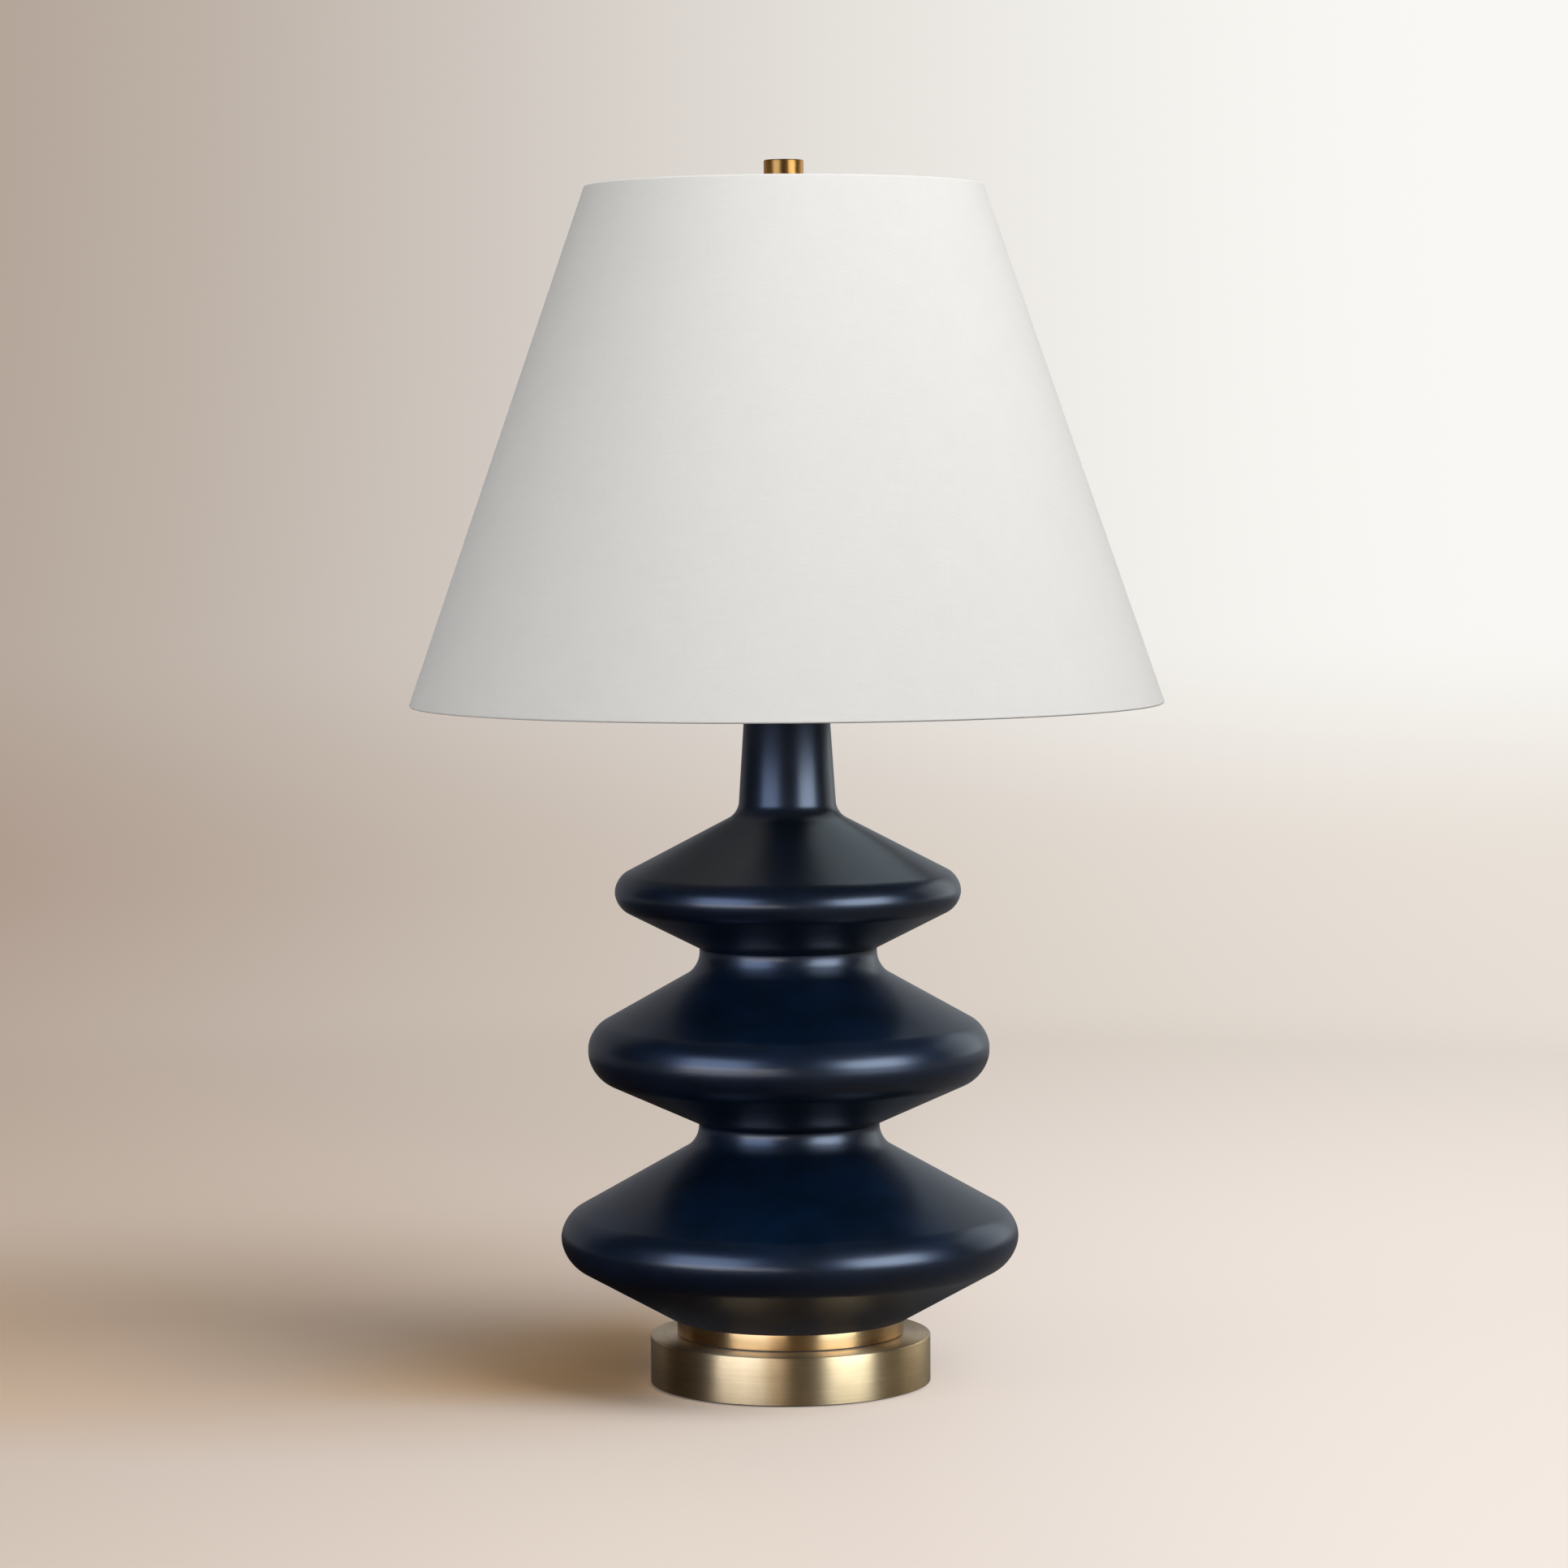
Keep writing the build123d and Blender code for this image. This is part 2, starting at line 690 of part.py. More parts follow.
# Socket shell and the cardboard liner inside it, both pierced for the switch
shell_low = saddle_top + socket_shell_start
shell_high = saddle_top + socket_shell_end
shell_inner = socket_cap_radius + slip_clearance
shell_outer = shell_inner + socket_wall
switch_plane = Plane(origin=(0, 0, saddle_top + switch_height), z_dir=(0, -1, 0))


def pierce_for_switch():
    """Cut the hole that the switch bushing fills, through the front only."""
    with BuildSketch(switch_plane) as hole:
        Circle(switch_bushing_radius + slip_clearance)
    extrude(hole.sketch, amount=2 * shell_outer, mode=Mode.SUBTRACT)


with BuildPart() as socket_shell:
    tube(shell_inner, shell_outer, shell_low, shell_high)
    tube(shell_inner, socket_bead_radius, shell_low, shell_low + socket_bead_height)
    tube(shell_inner, socket_bead_radius, shell_high - socket_bead_height, shell_high)
    pierce_for_switch()
save(socket_shell, "socket_shell")

liner_inner = liner_radius - liner_thickness
with BuildPart() as socket_liner:
    tube(liner_inner, liner_radius, hub_top + socket_wall, shell_high - liner_end_gap)
    pierce_for_switch()
save(socket_liner, "socket_liner")

# Phenolic body that holds the screw shell, the contact and the switch
phenolic_low = hub_top + socket_wall
phenolic_high = saddle_top + phenolic_end
with BuildPart() as socket_body:
    tube(0, phenolic_radius, phenolic_low, phenolic_high)
    for side in (-1, 1):
        with Locations((side * (phenolic_flat + phenolic_radius), 0, (phenolic_low + phenolic_high) / 2)):
            Box(2 * phenolic_radius, 2 * phenolic_radius, phenolic_high - phenolic_low, mode=Mode.SUBTRACT)
    for side in (-1, 1):
        with BuildSketch(Plane(origin=(0, 0, saddle_top + terminal_height), z_dir=(side, 0, 0))):
            Circle(terminal_shank_radius + slip_clearance)
        extrude(amount=phenolic_flat, mode=Mode.SUBTRACT)
    with BuildSketch(switch_plane.offset(switch_shaft_inner_end - switch_shaft_radius)):
        Circle(switch_shaft_radius + slip_clearance)
    extrude(amount=phenolic_radius, mode=Mode.SUBTRACT)
save(socket_body, "socket_body")

screw_shell_inner = bulb_cap_radius + hole_clearance
screw_shell_outer = screw_shell_inner + screw_shell_thickness
with BuildPart() as screw_shell:
    tube(screw_shell_inner, screw_shell_outer, phenolic_high, shell_high - liner_end_gap)
save(screw_shell, "screw_shell")

# Sprung brass contact under the bulb's tip
contact_top = phenolic_high + contact_thickness + contact_rise
with BuildPart() as centre_contact:
    with BuildSketch(Plane.XZ):
        with BuildLine():
            FilletPolyline(
                (-contact_half_length, phenolic_high + contact_thickness / 2),
                (-contact_half_length / 3, phenolic_high + contact_thickness / 2),
                (contact_half_length / 3, contact_top - contact_thickness / 2),
                (contact_half_length, contact_top - contact_thickness / 2),
                radius=contact_rise,
            )
        trace(line_width=contact_thickness)
    extrude(amount=contact_width / 2, both=True)
save(centre_contact, "centre_contact")

with BuildPart() as terminal_screws:
    for side in (-1, 1):
        terminal_plane = Plane(origin=(0, 0, saddle_top + terminal_height), z_dir=(side, 0, 0))
        with BuildSketch(terminal_plane.offset(phenolic_flat)):
            Circle(terminal_head_radius)
        extrude(amount=terminal_head)
        with BuildSketch(terminal_plane.offset(phenolic_flat - terminal_shank)):
            Circle(terminal_shank_radius)
        extrude(amount=terminal_shank)
        with BuildSketch(terminal_plane.offset(phenolic_flat + terminal_head / 2)):
            Rectangle(2 * terminal_head_radius, terminal_head / 2)
        extrude(amount=terminal_head, mode=Mode.SUBTRACT)
save(terminal_screws, "terminal_screws")

# Turn switch: insulating bushing in the shell, shaft, and fluted knob
bushing_start = liner_inner + seat_gap
with BuildPart() as switch_bushing:
    with BuildSketch(switch_plane.offset(bushing_start)):
        Circle(switch_bushing_radius)
        Circle(switch_shaft_radius + slip_clearance, mode=Mode.SUBTRACT)
    extrude(amount=switch_bushing_length)
save(switch_bushing, "switch_bushing")

knob_start = bushing_start + switch_bushing_length + knob_gap
with BuildPart() as switch_shaft:
    with BuildSketch(switch_plane.offset(switch_shaft_inner_end)):
        Circle(switch_shaft_radius)
    extrude(amount=knob_start + knob_socket_depth - switch_shaft_inner_end)
save(switch_shaft, "switch_shaft")

with BuildPart() as switch_knob:
    with BuildSketch(switch_plane.offset(knob_start)):
        Circle(knob_radius)
        with PolarLocations(knob_radius, knob_flutes):
            Circle(knob_flute_radius, mode=Mode.SUBTRACT)
    extrude(amount=knob_length)
    with BuildSketch(switch_plane.offset(knob_start)):
        Circle(switch_shaft_radius)
    extrude(amount=knob_socket_depth, mode=Mode.SUBTRACT)
save(switch_knob, "switch_knob")

# Bulb: screw cap with its insulator and tip, housing, board and frosted globe
cap_bottom = tip_height + bulb_cap_start
cap_end = tip_height + bulb_cap_end
insulator_bottom = tip_height + bulb_tip_height
housing_end = tip_height + bulb_housing_end
bulb_top = tip_height + bulb_length
globe_middle = bulb_top - bulb_globe_radius
cap_inner = bulb_cap_radius - bulb_cap_wall
with BuildPart() as bulb_contact:
    tube(0, bulb_tip_radius, tip_height, insulator_bottom)
    fillet(bulb_contact.edges().group_by(Axis.Z)[0], bulb_tip_round)
save(bulb_contact, "bulb_contact")

with BuildPart() as bulb_insulator:
    turn(
        [
            (0, insulator_bottom + slip_clearance),
            (bulb_tip_radius, insulator_bottom + slip_clearance),
            (cap_inner, cap_bottom),
            (cap_inner, cap_bottom + bulb_tip_height),
            (0, cap_bottom + bulb_tip_height),
        ]
    )
save(bulb_insulator, "bulb_insulator")

with BuildPart() as bulb_cap:
    tube(cap_inner, bulb_cap_radius, cap_bottom, cap_end)
save(bulb_cap, "bulb_cap")

with BuildPart() as bulb_housing:
    turn(
        [
            (bulb_cap_radius - bulb_housing_wall, cap_end),
            (bulb_cap_radius, cap_end),
            (bulb_housing_radius, housing_end),
            (bulb_housing_radius - bulb_housing_wall, housing_end),
        ]
    )
save(bulb_housing, "bulb_housing")

board_bottom = housing_end - board_thickness
housing_slope = (bulb_housing_radius - bulb_cap_radius) / (housing_end - cap_end)
board_radius = bulb_housing_radius - bulb_housing_wall - board_thickness * housing_slope - slip_clearance
with BuildPart() as bulb_board:
    tube(0, board_radius, board_bottom, housing_end)
save(bulb_board, "bulb_board")


def globe_face(radius, rim):
    """Draw half of the globe's section: a dome over a slope down to the housing's rim."""
    with BuildLine() as outline:
        Line((rim, housing_end), (radius, globe_middle))
        CenterArc((0, globe_middle), radius, 0, 90)
        Polyline((0, globe_middle + radius), (0, housing_end), (rim, housing_end))
    make_face(outline.edges())


with BuildPart() as bulb_globe:
    with BuildSketch(Plane.XZ):
        globe_face(bulb_globe_radius, bulb_housing_radius)
    revolve(axis=Axis.Z)
    with BuildSketch(Plane.XZ):
        globe_face(bulb_globe_radius - bulb_globe_wall, bulb_housing_radius - bulb_globe_wall)
    revolve(axis=Axis.Z, mode=Mode.SUBTRACT)
save(bulb_globe, "bulb_globe")
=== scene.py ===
"""Looks of a table lamp: a navy three-lobed gourd body on a brushed brass base, under a tapered fabric shade.

Size fields are in millimetres unless their class says otherwise, and meshes are in metres, in the frame of
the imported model. Angles are in degrees.
"""

import logging
import math
from collections.abc import Sequence
from dataclasses import dataclass, field
from enum import Enum

import bmesh
import bpy
from mathutils import Matrix, Vector


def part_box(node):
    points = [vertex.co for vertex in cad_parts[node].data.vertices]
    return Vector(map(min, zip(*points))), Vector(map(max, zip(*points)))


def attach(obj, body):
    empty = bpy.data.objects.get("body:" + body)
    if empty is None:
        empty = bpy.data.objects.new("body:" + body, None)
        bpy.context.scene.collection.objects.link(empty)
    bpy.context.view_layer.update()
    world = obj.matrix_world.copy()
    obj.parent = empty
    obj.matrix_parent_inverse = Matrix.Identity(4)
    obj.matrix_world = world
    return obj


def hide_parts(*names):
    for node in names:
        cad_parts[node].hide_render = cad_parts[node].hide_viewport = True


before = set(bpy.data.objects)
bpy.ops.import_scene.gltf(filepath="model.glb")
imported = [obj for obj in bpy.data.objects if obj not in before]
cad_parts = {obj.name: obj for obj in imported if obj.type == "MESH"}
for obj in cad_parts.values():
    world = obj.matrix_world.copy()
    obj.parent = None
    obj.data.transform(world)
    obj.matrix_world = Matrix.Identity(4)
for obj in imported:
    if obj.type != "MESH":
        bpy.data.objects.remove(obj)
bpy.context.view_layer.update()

log = logging.getLogger("lamp")

MM = 0.001
FULL_TURN = math.tau
UP = Vector((0.0, 0.0, 1.0))
CLOTH_MAP = "cloth"
ROD_HOLE = 5.05
WIRE_SIDES = 16
BEND_STEPS = 10
DISPLAY_STEPS = 255

Colour = tuple[float, float, float, float]
Element = bmesh.types.BMVert | bmesh.types.BMEdge | bmesh.types.BMFace


def tint(red: int, green: int, blue: int) -> Colour:
    """Turn a display colour into the linear colour that a shader takes.

    Args:
        red: Red as displayed, 0 to 255.
        green: Green as displayed, 0 to 255.
        blue: Blue as displayed, 0 to 255.

    Returns:
        The linear colour with a full alpha.
    """
    linear = []
    for level in (red, green, blue):
        share = level / DISPLAY_STEPS
        linear.append(share / 12.92 if share <= 0.04045 else ((share + 0.055) / 1.055) ** 2.4)
    return (*linear, 1.0)


class Side(Enum):
    """The two sides of the lamp that carry a harp leg."""

    RIGHT = 1
    LEFT = -1


class Value:
    """An output of a node. Sums and products of it add the Math nodes that they need."""

    def __init__(self, recipe: "Recipe", socket: bpy.types.NodeSocket) -> None:
        """Keep the output and the recipe that it belongs to."""
        self.recipe = recipe
        self.socket = socket

    def other(self, name: str) -> "Value":
        """Return another output of the same node, by name."""
        return Value(self.recipe, self.socket.node.outputs[name])

    def __add__(self, term: "Value | float") -> "Value":
        """Add a term."""
        return self.recipe.maths("ADD", self, term)

    def __radd__(self, term: float) -> "Value":
        """Add this to a number."""
        return self.recipe.maths("ADD", term, self)

    def __sub__(self, term: "Value | float") -> "Value":
        """Take a term away."""
        return self.recipe.maths("SUBTRACT", self, term)

    def __rsub__(self, term: float) -> "Value":
        """Take this away from a number."""
        return self.recipe.maths("SUBTRACT", term, self)

    def __mul__(self, factor: "Value | float") -> "Value":
        """Multiply by a factor."""
        return self.recipe.maths("MULTIPLY", self, factor)

    def __rmul__(self, factor: float) -> "Value":
        """Multiply a number by this."""
        return self.recipe.maths("MULTIPLY", factor, self)

    def __truediv__(self, divisor: "Value | float") -> "Value":
        """Divide by a divisor."""
        return self.recipe.maths("DIVIDE", self, divisor)

    def __pow__(self, power: float) -> "Value":
        """Raise to a power."""
        return self.recipe.maths("POWER", self, power)


Term = Value | float
Input = Value | float | Sequence[float]


class Recipe:
    """A tree of nodes as it is written, for a material or for the world.

    Attributes:
        material: The material that the tree belongs to; a world's tree has none.
        shader: The principled shader of that material.
    """

    material: bpy.types.Material
    shader: Value

    def __init__(self, tree: bpy.types.NodeTree) -> None:
        """Empty the tree."""
        self.nodes = tree.nodes
        self.links = tree.links
        self.nodes.clear()

    @classmethod
    def surface(cls, name: str) -> "Recipe":
        """Start a material that has only a principled shader."""
        material = bpy.data.materials.new(name)
        material.use_nodes = True
        recipe = cls(material.node_tree)
        recipe.material = material
        recipe.shader = recipe.node("ShaderNodeBsdfPrincipled")
        recipe.node("ShaderNodeOutputMaterial", inputs={"Surface": recipe.shader}, output=None)
        return recipe

    def node(
        self,
        kind: str,
        settings: dict[str, object] | None = None,
        inputs: dict[str | int, Input] | None = None,
        output: str | int | None = 0,
    ) -> Value | None:
        """Add any node.

        Args:
            kind: The node's type.
            settings: Its settings, which are set first.
            inputs: What its sockets get, by name or number: a value, a number or a colour.
            output: The output to return, or None for a node that has none.

        Returns:
            The output, ready for arithmetic.
        """
        node = self.nodes.new(kind)
        for key, setting in (settings or {}).items():
            setattr(node, key, setting)
        for key, given in (inputs or {}).items():
            if isinstance(given, Value):
                self.links.new(given.socket, node.inputs[key])
            else:
                node.inputs[key].default_value = given
        return None if output is None else Value(self, node.outputs[output])

    def maths(self, operation: str, *terms: Term) -> Value:
        """Join terms with one Math node."""
        return self.node("ShaderNodeMath", {"operation": operation}, dict(enumerate(terms)))

    def larger(self, first: Term, second: Term) -> Value:
        """Return the larger of two terms."""
        return self.maths("MAXIMUM", first, second)

    def constants(self, **numbers: float | Colour) -> None:
        """Set sockets of the shader that are the same all over; underscores stand for spaces."""
        for key, number in numbers.items():
            self.shader.socket.node.inputs[key.replace("_", " ")].default_value = number

    def feed(self, socket: str, value: Value) -> None:
        """Link a value to a socket of the shader."""
        self.links.new(value.socket, self.shader.socket.node.inputs[socket])

    def place(self) -> Value:
        """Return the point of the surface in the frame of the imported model, in metres."""
        return self.node("ShaderNodeTexCoord", output="Object")

    def axes(self, point: Value) -> tuple[Value, Value, Value]:
        """Split a vector into its three numbers."""
        x = self.node("ShaderNodeSeparateXYZ", inputs={0: point})
        return x, x.other("Y"), x.other("Z")

    def vector(self, x: Term, y: Term, z: Term) -> Value:
        """Join three numbers into a vector."""
        return self.node("ShaderNodeCombineXYZ", inputs={0: x, 1: y, 2: z})

    def noise(self, where: Value, scale: float, detail: float = 2.0, roughness: float = 0.5) -> Value:
        """Return soft noise around one half.

        Args:
            where: The vector that it reads.
            scale: Its blobs for each unit of the vector.
            detail: How many finer layers it has.
            roughness: How strong the finer layers are.

        Returns:
            The noise, mostly between 0.3 and 0.7.
        """
        inputs = {"Vector": where, "Scale": scale, "Detail": detail, "Roughness": roughness}
        return self.node("ShaderNodeTexNoise", inputs=inputs)

    def step(self, value: Value, low: float, high: float) -> Value:
        """Return 0 below the low mark and 1 above the high one, with a smooth rise between."""
        inputs = {"Value": value, "From Min": low, "From Max": high}
        return self.node("ShaderNodeMapRange", {"interpolation_type": "SMOOTHSTEP"}, inputs)

    def blend(self, share: Term, first: Input, second: Input) -> Value:
        """Mix two colours; a share of 0 gives the first and 1 the second."""
        settings = {"data_type": "RGBA", "clamp_factor": True}
        return self.node("ShaderNodeMix", settings, {0: share, 6: first, 7: second}, output=2)

    def shaded(self, colour: Input, light: Value) -> Value:
        """Make a colour lighter or darker by a factor near 1."""
        settings = {"data_type": "RGBA", "blend_type": "MULTIPLY"}
        return self.node("ShaderNodeMix", settings, {0: 1.0, 6: colour, 7: light}, output=2)

    def tones(self, value: Value, low: float, high: float, first: Colour, second: Colour) -> None:
        """Colour the surface with two tones: the first below the low mark, the second above the high one."""
        self.feed("Base Color", self.blend(self.step(value, low, high), first, second))

    def relief(self, height: Value, depth: float) -> None:
        """Give the surface a fine relief.

        Args:
            height: Its height, from 0 to 1.
            depth: The depth of a height of 1, in millimetres.
        """
        bump = self.node("ShaderNodeBump", inputs={"Height": height, "Strength": 1.0, "Distance": depth * MM})
        self.feed("Normal", bump)


@dataclass(frozen=True)
class Finish:
    """A finish that a maker would name; its material is made once and shared.

    Attributes:
        name: Its name.
        slot: Not used: the name of a slot, where that differs from the finish's name.
    """

    name: str
    slot: str = field(default="", kw_only=True)

    def material(self) -> bpy.types.Material:
        """Return the finish's material, made at its first use."""
        title = f"{self.name}_finish"
        made = bpy.data.materials.get(title)
        if made is None:
            recipe = Recipe.surface(title)
            self.write(recipe)
            made = recipe.material
        return made

    def write(self, recipe: Recipe) -> None:
        """Write the finish into a recipe."""
        raise NotImplementedError


@dataclass(frozen=True)
class TurnedBrass(Finish):
    """Brass brushed on a lathe: fine lines run round the lamp's axis, on the sides and on top."""

    bright: Colour
    dark: Colour
    roughness: float
    lines: float = 1500.0
    tarnish: float = 0.5
    stretch: float = 0.6

    def write(self, recipe: Recipe) -> None:
        """Write the brushed lines, the uneven tarnish and the finger-soft roughness."""
        place = recipe.place()
        x, y, z = recipe.axes(place)
        radius = (x * x + y * y) ** 0.5
        across = z + radius
        fine = recipe.noise(recipe.vector(x * 14, y * 14, across * self.lines), 1.0, 3.0, 0.7)
        broad = recipe.noise(recipe.vector(x * 9, y * 9, across * self.lines / 6), 1.0, 2.0)
        cloud = recipe.noise(place, 34.0, 4.0, 0.6)
        lines = fine * 0.6 + broad * 0.4
        wear = recipe.step(lines * 0.55 + cloud * 0.45, 0.34, 0.66)
        recipe.feed("Base Color", recipe.blend(wear * self.tarnish, self.bright, self.dark))
        recipe.feed("Roughness", self.roughness - 0.09 + lines * 0.14 + cloud * 0.06)
        recipe.relief(lines, 0.02)
        recipe.constants(Metallic=1.0, Anisotropic=self.stretch, Anisotropic_Rotation=0.25)


@dataclass(frozen=True)
class PlainMetal(Finish):
    """Drawn, pressed or cast metal with soft marks and a little tarnish."""

    bright: Colour
    dark: Colour
    roughness: float
    grain: float = 220.0
    depth: float = 0.02
    metallic: float = 1.0

    def write(self, recipe: Recipe) -> None:
        """Write the marks, the tarnish and the relief."""
        place = recipe.place()
        marks = recipe.noise(place, self.grain, 5.0, 0.65)
        cloud = recipe.noise(place, self.grain / 6, 3.0, 0.55)
        both = marks * 0.5 + cloud * 0.5
        recipe.tones(both, 0.38, 0.62, self.bright, self.dark)
        recipe.feed("Roughness", self.roughness - 0.08 + both * 0.16)
        recipe.relief(marks, self.depth)
        recipe.constants(Metallic=self.metallic)


@dataclass(frozen=True)
class SatinGlaze(Finish):
    """A dense satin glaze, fired over clay: deep colour, faint mottling and a skin like eggshell.

    It is thin and dry around the foot: fully so below one height, and not at all above another one. Both
    heights are in metres.
    """

    deep: Colour
    light: Colour
    roughness: float
    dry_below: float = 0.035
    glossy_above: float = 0.075

    def write(self, recipe: Recipe) -> None:
        """Write the mottled colour, the tiny pits and the eggshell relief."""
        place = recipe.place()
        x, y, z = recipe.axes(place)
        cloud = recipe.noise(recipe.vector(x, y, z * 1.6), 26.0, 3.0, 0.6)
        fleck = recipe.noise(place, 900.0, 2.0, 0.6)
        skin = recipe.noise(place, 260.0, 2.0, 0.5)
        recipe.tones(cloud * 0.75 + fleck * 0.25, 0.36, 0.66, self.deep, self.light)
        dry = 1.0 - recipe.step(z, self.dry_below, self.glossy_above)
        recipe.feed("Roughness", self.roughness - 0.05 + cloud * 0.06 + fleck * 0.05 + dry * 0.6)
        recipe.relief(skin * 0.7 + fleck * 0.3, 0.012)
        recipe.constants(IOR=1.5, Coat_Roughness=0.22, Coat_Weight=0.08)


@dataclass(frozen=True)
class Moulded(Finish):
    """Moulded plastic, rubber or phenolic: an even colour with flow marks and a fine texture."""

    colour: Colour
    streaks: Colour
    roughness: float
    grain: float = 1200.0
    depth: float = 0.015

    def write(self, recipe: Recipe) -> None:
        """Write the flow marks and the texture of the mould."""
        place = recipe.place()
        flow = recipe.noise(place, 60.0, 3.0, 0.6)
        texture = recipe.noise(place, self.grain, 2.0, 0.6)
        recipe.tones(flow, 0.35, 0.7, self.colour, self.streaks)
        recipe.feed("Roughness", self.roughness - 0.05 + texture * 0.1)
        recipe.relief(texture, self.depth)


@dataclass(frozen=True)
class Fibrous(Finish):
    """Felt, cork or card: two tones of matted fibre or grain with a soft relief."""

    light: Colour
    dark: Colour
    grain: float
    depth: float

    def write(self, recipe: Recipe) -> None:
        """Write the matted tones and the relief."""
        place = recipe.place()
        tuft = recipe.noise(place, self.grain, 4.0, 0.7)
        clump = recipe.noise(place, self.grain / 5, 2.0)
        both = tuft * 0.7 + clump * 0.3
        recipe.tones(both, 0.35, 0.65, self.dark, self.light)
        recipe.relief(both, self.depth)
        recipe.constants(Roughness=0.95, Sheen_Weight=0.15, Specular_IOR_Level=0.2)


@dataclass(frozen=True)
class TwillCloth(Finish):
    """Fine off-white twill. It reads the cloth's own map, which is in metres of the flat cloth.

    Attributes:
        light: The colour of the ridges.
        dark: The colour between them.
        across: The pitch of the wales across the cloth.
        along: Their pitch along it.
        threads: How many threads one wale crosses.
    """

    light: Colour
    dark: Colour
    across: float = 1.55
    along: float = 2.4
    threads: float = 4.0

    def write(self, recipe: Recipe) -> None:
        """Write the diagonal wales, the single threads and their uneven thickness."""
        u, v, _ = recipe.axes(recipe.node("ShaderNodeUVMap", {"uv_map": CLOTH_MAP}))
        warp = u * (self.threads / (self.across * MM))
        weft = v * (self.threads / (self.along * MM))
        wale = recipe.maths("SINE", (warp - weft) * (FULL_TURN / self.threads)) * 0.5 + 0.5
        warp_ridge = recipe.maths("ABSOLUTE", recipe.maths("SINE", warp * math.pi))
        weft_ridge = recipe.maths("ABSOLUTE", recipe.maths("SINE", weft * math.pi))
        thread = wale * warp_ridge + (1.0 - wale) * weft_ridge
        warp_slub = recipe.noise(recipe.vector(recipe.maths("FLOOR", warp), v * 40, 0.0), 1.0, 1.0)
        weft_slub = recipe.noise(recipe.vector(u * 40, recipe.maths("FLOOR", weft), 7.0), 1.0, 1.0)
        slub = wale * warp_slub + (1.0 - wale) * weft_slub
        cloud = recipe.noise(recipe.vector(u, v, 0.0), 40.0, 3.0)
        tone = wale * 0.45 + thread * 0.2 + slub * 0.5 + cloud * 0.15
        recipe.tones(tone, 0.2, 1.05, self.dark, self.light)
        recipe.relief(wale * 0.5 + thread * 0.35 + slub * 0.3, 0.06)
        recipe.constants(Roughness=0.9, Specular_IOR_Level=0.25, Sheen_Weight=0.08)


@dataclass(frozen=True)
class OpalGlass(Finish):
    """Frosted opal glass of a bulb that is off."""

    colour: Colour

    def write(self, recipe: Recipe) -> None:
        """Write the milky colour, the frosting and a few faint clouds."""
        place = recipe.place()
        frost = recipe.noise(place, 1500.0, 2.0)
        cloud = recipe.noise(place, 40.0, 2.0)
        recipe.feed("Base Color", recipe.shaded(self.colour, cloud * 0.06 + 0.95))
        recipe.feed("Roughness", 0.32 + frost * 0.1)
        recipe.relief(frost, 0.004)
        recipe.constants(Subsurface_Weight=0.3, Subsurface_Scale=0.01, Coat_Weight=0.2)


BRUSHED_BRASS = TurnedBrass("brushed_brass", tint(240, 206, 152), tint(176, 142, 94), 0.4, 1500.0, 0.45, 0.9)
GOLDEN_BRASS = TurnedBrass("golden_brass", tint(222, 182, 126), tint(152, 112, 66), 0.3, 1900.0, 0.45, 0.85)
FINIAL_BRASS = TurnedBrass(
    "finial_brass", tint(238, 174, 92), tint(192, 122, 52), 0.42, 1900.0, 0.45, 0.8, slot="golden_brass"
)
PLAIN_BRASS = PlainMetal("plain_brass", tint(222, 190, 122), tint(176, 142, 80), 0.3)
NAVY_GLAZE = SatinGlaze("navy_glaze", tint(1, 15, 33), tint(3, 23, 48), 0.31)
CAST_IRON = PlainMetal("cast_iron", tint(74, 74, 76), tint(46, 46, 48), 0.7, 420.0, 0.3, 0.6)
FELT = Fibrous("felt", tint(60, 60, 62), tint(38, 38, 40), 330.0, 0.12)
RUBBER = Moulded("black_rubber", tint(30, 30, 31), tint(38, 38, 39), 0.7)
BLACK_PLASTIC = Moulded("black_plastic", tint(26, 26, 27), tint(34, 34, 35), 0.45)
WHITE_PLASTIC = Moulded("white_plastic", tint(236, 236, 232), tint(226, 226, 222), 0.42)
PHENOLIC = Moulded("phenolic", tint(44, 34, 30), tint(58, 44, 38), 0.3)
ZINC = PlainMetal("zinc_steel", tint(206, 208, 210), tint(160, 162, 166), 0.34)
CORK = Fibrous("cork", tint(186, 148, 104), tint(122, 88, 56), 300.0, 0.2)
CARD = Fibrous("card", tint(168, 150, 124), tint(140, 122, 98), 700.0, 0.06)
ALUMINIUM = PlainMetal("aluminium", tint(222, 223, 224), tint(188, 190, 192), 0.32)
SHADE_CLOTH = TwillCloth("shade_cloth", tint(240, 240, 238), tint(222, 223, 222))
STYRENE = Moulded("styrene", tint(246, 246, 242), tint(240, 240, 236), 0.5, 500.0, 0.02)
PAINTED_WIRE = Moulded("painted_wire", tint(238, 238, 234), tint(228, 228, 224), 0.38, 700.0, 0.03)
OPAL = OpalGlass("opal_glass", tint(246, 245, 240))

NODE_FINISHES: dict[Finish, tuple[str, ...]] = {
    CAST_IRON: ("base_weight",),
    ZINC: (
        *("flat_washer", "lock_washer", "bottom_nut", "threaded_rod"),
        *("socket_set_screw", "switch_shaft", "bulb_contact"),
    ),
    BLACK_PLASTIC: ("gap_spacer", "switch_bushing"),
    CORK: ("foot_washer",),
    RUBBER: ("neck_gasket",),
    PLAIN_BRASS: ("harp_saddle", "stud_washer", "centre_contact", "terminal_screws", "finial_insert"),
    CARD: ("socket_liner",),
    PHENOLIC: ("socket_body", "bulb_insulator"),
    ALUMINIUM: ("screw_shell", "bulb_board"),
}


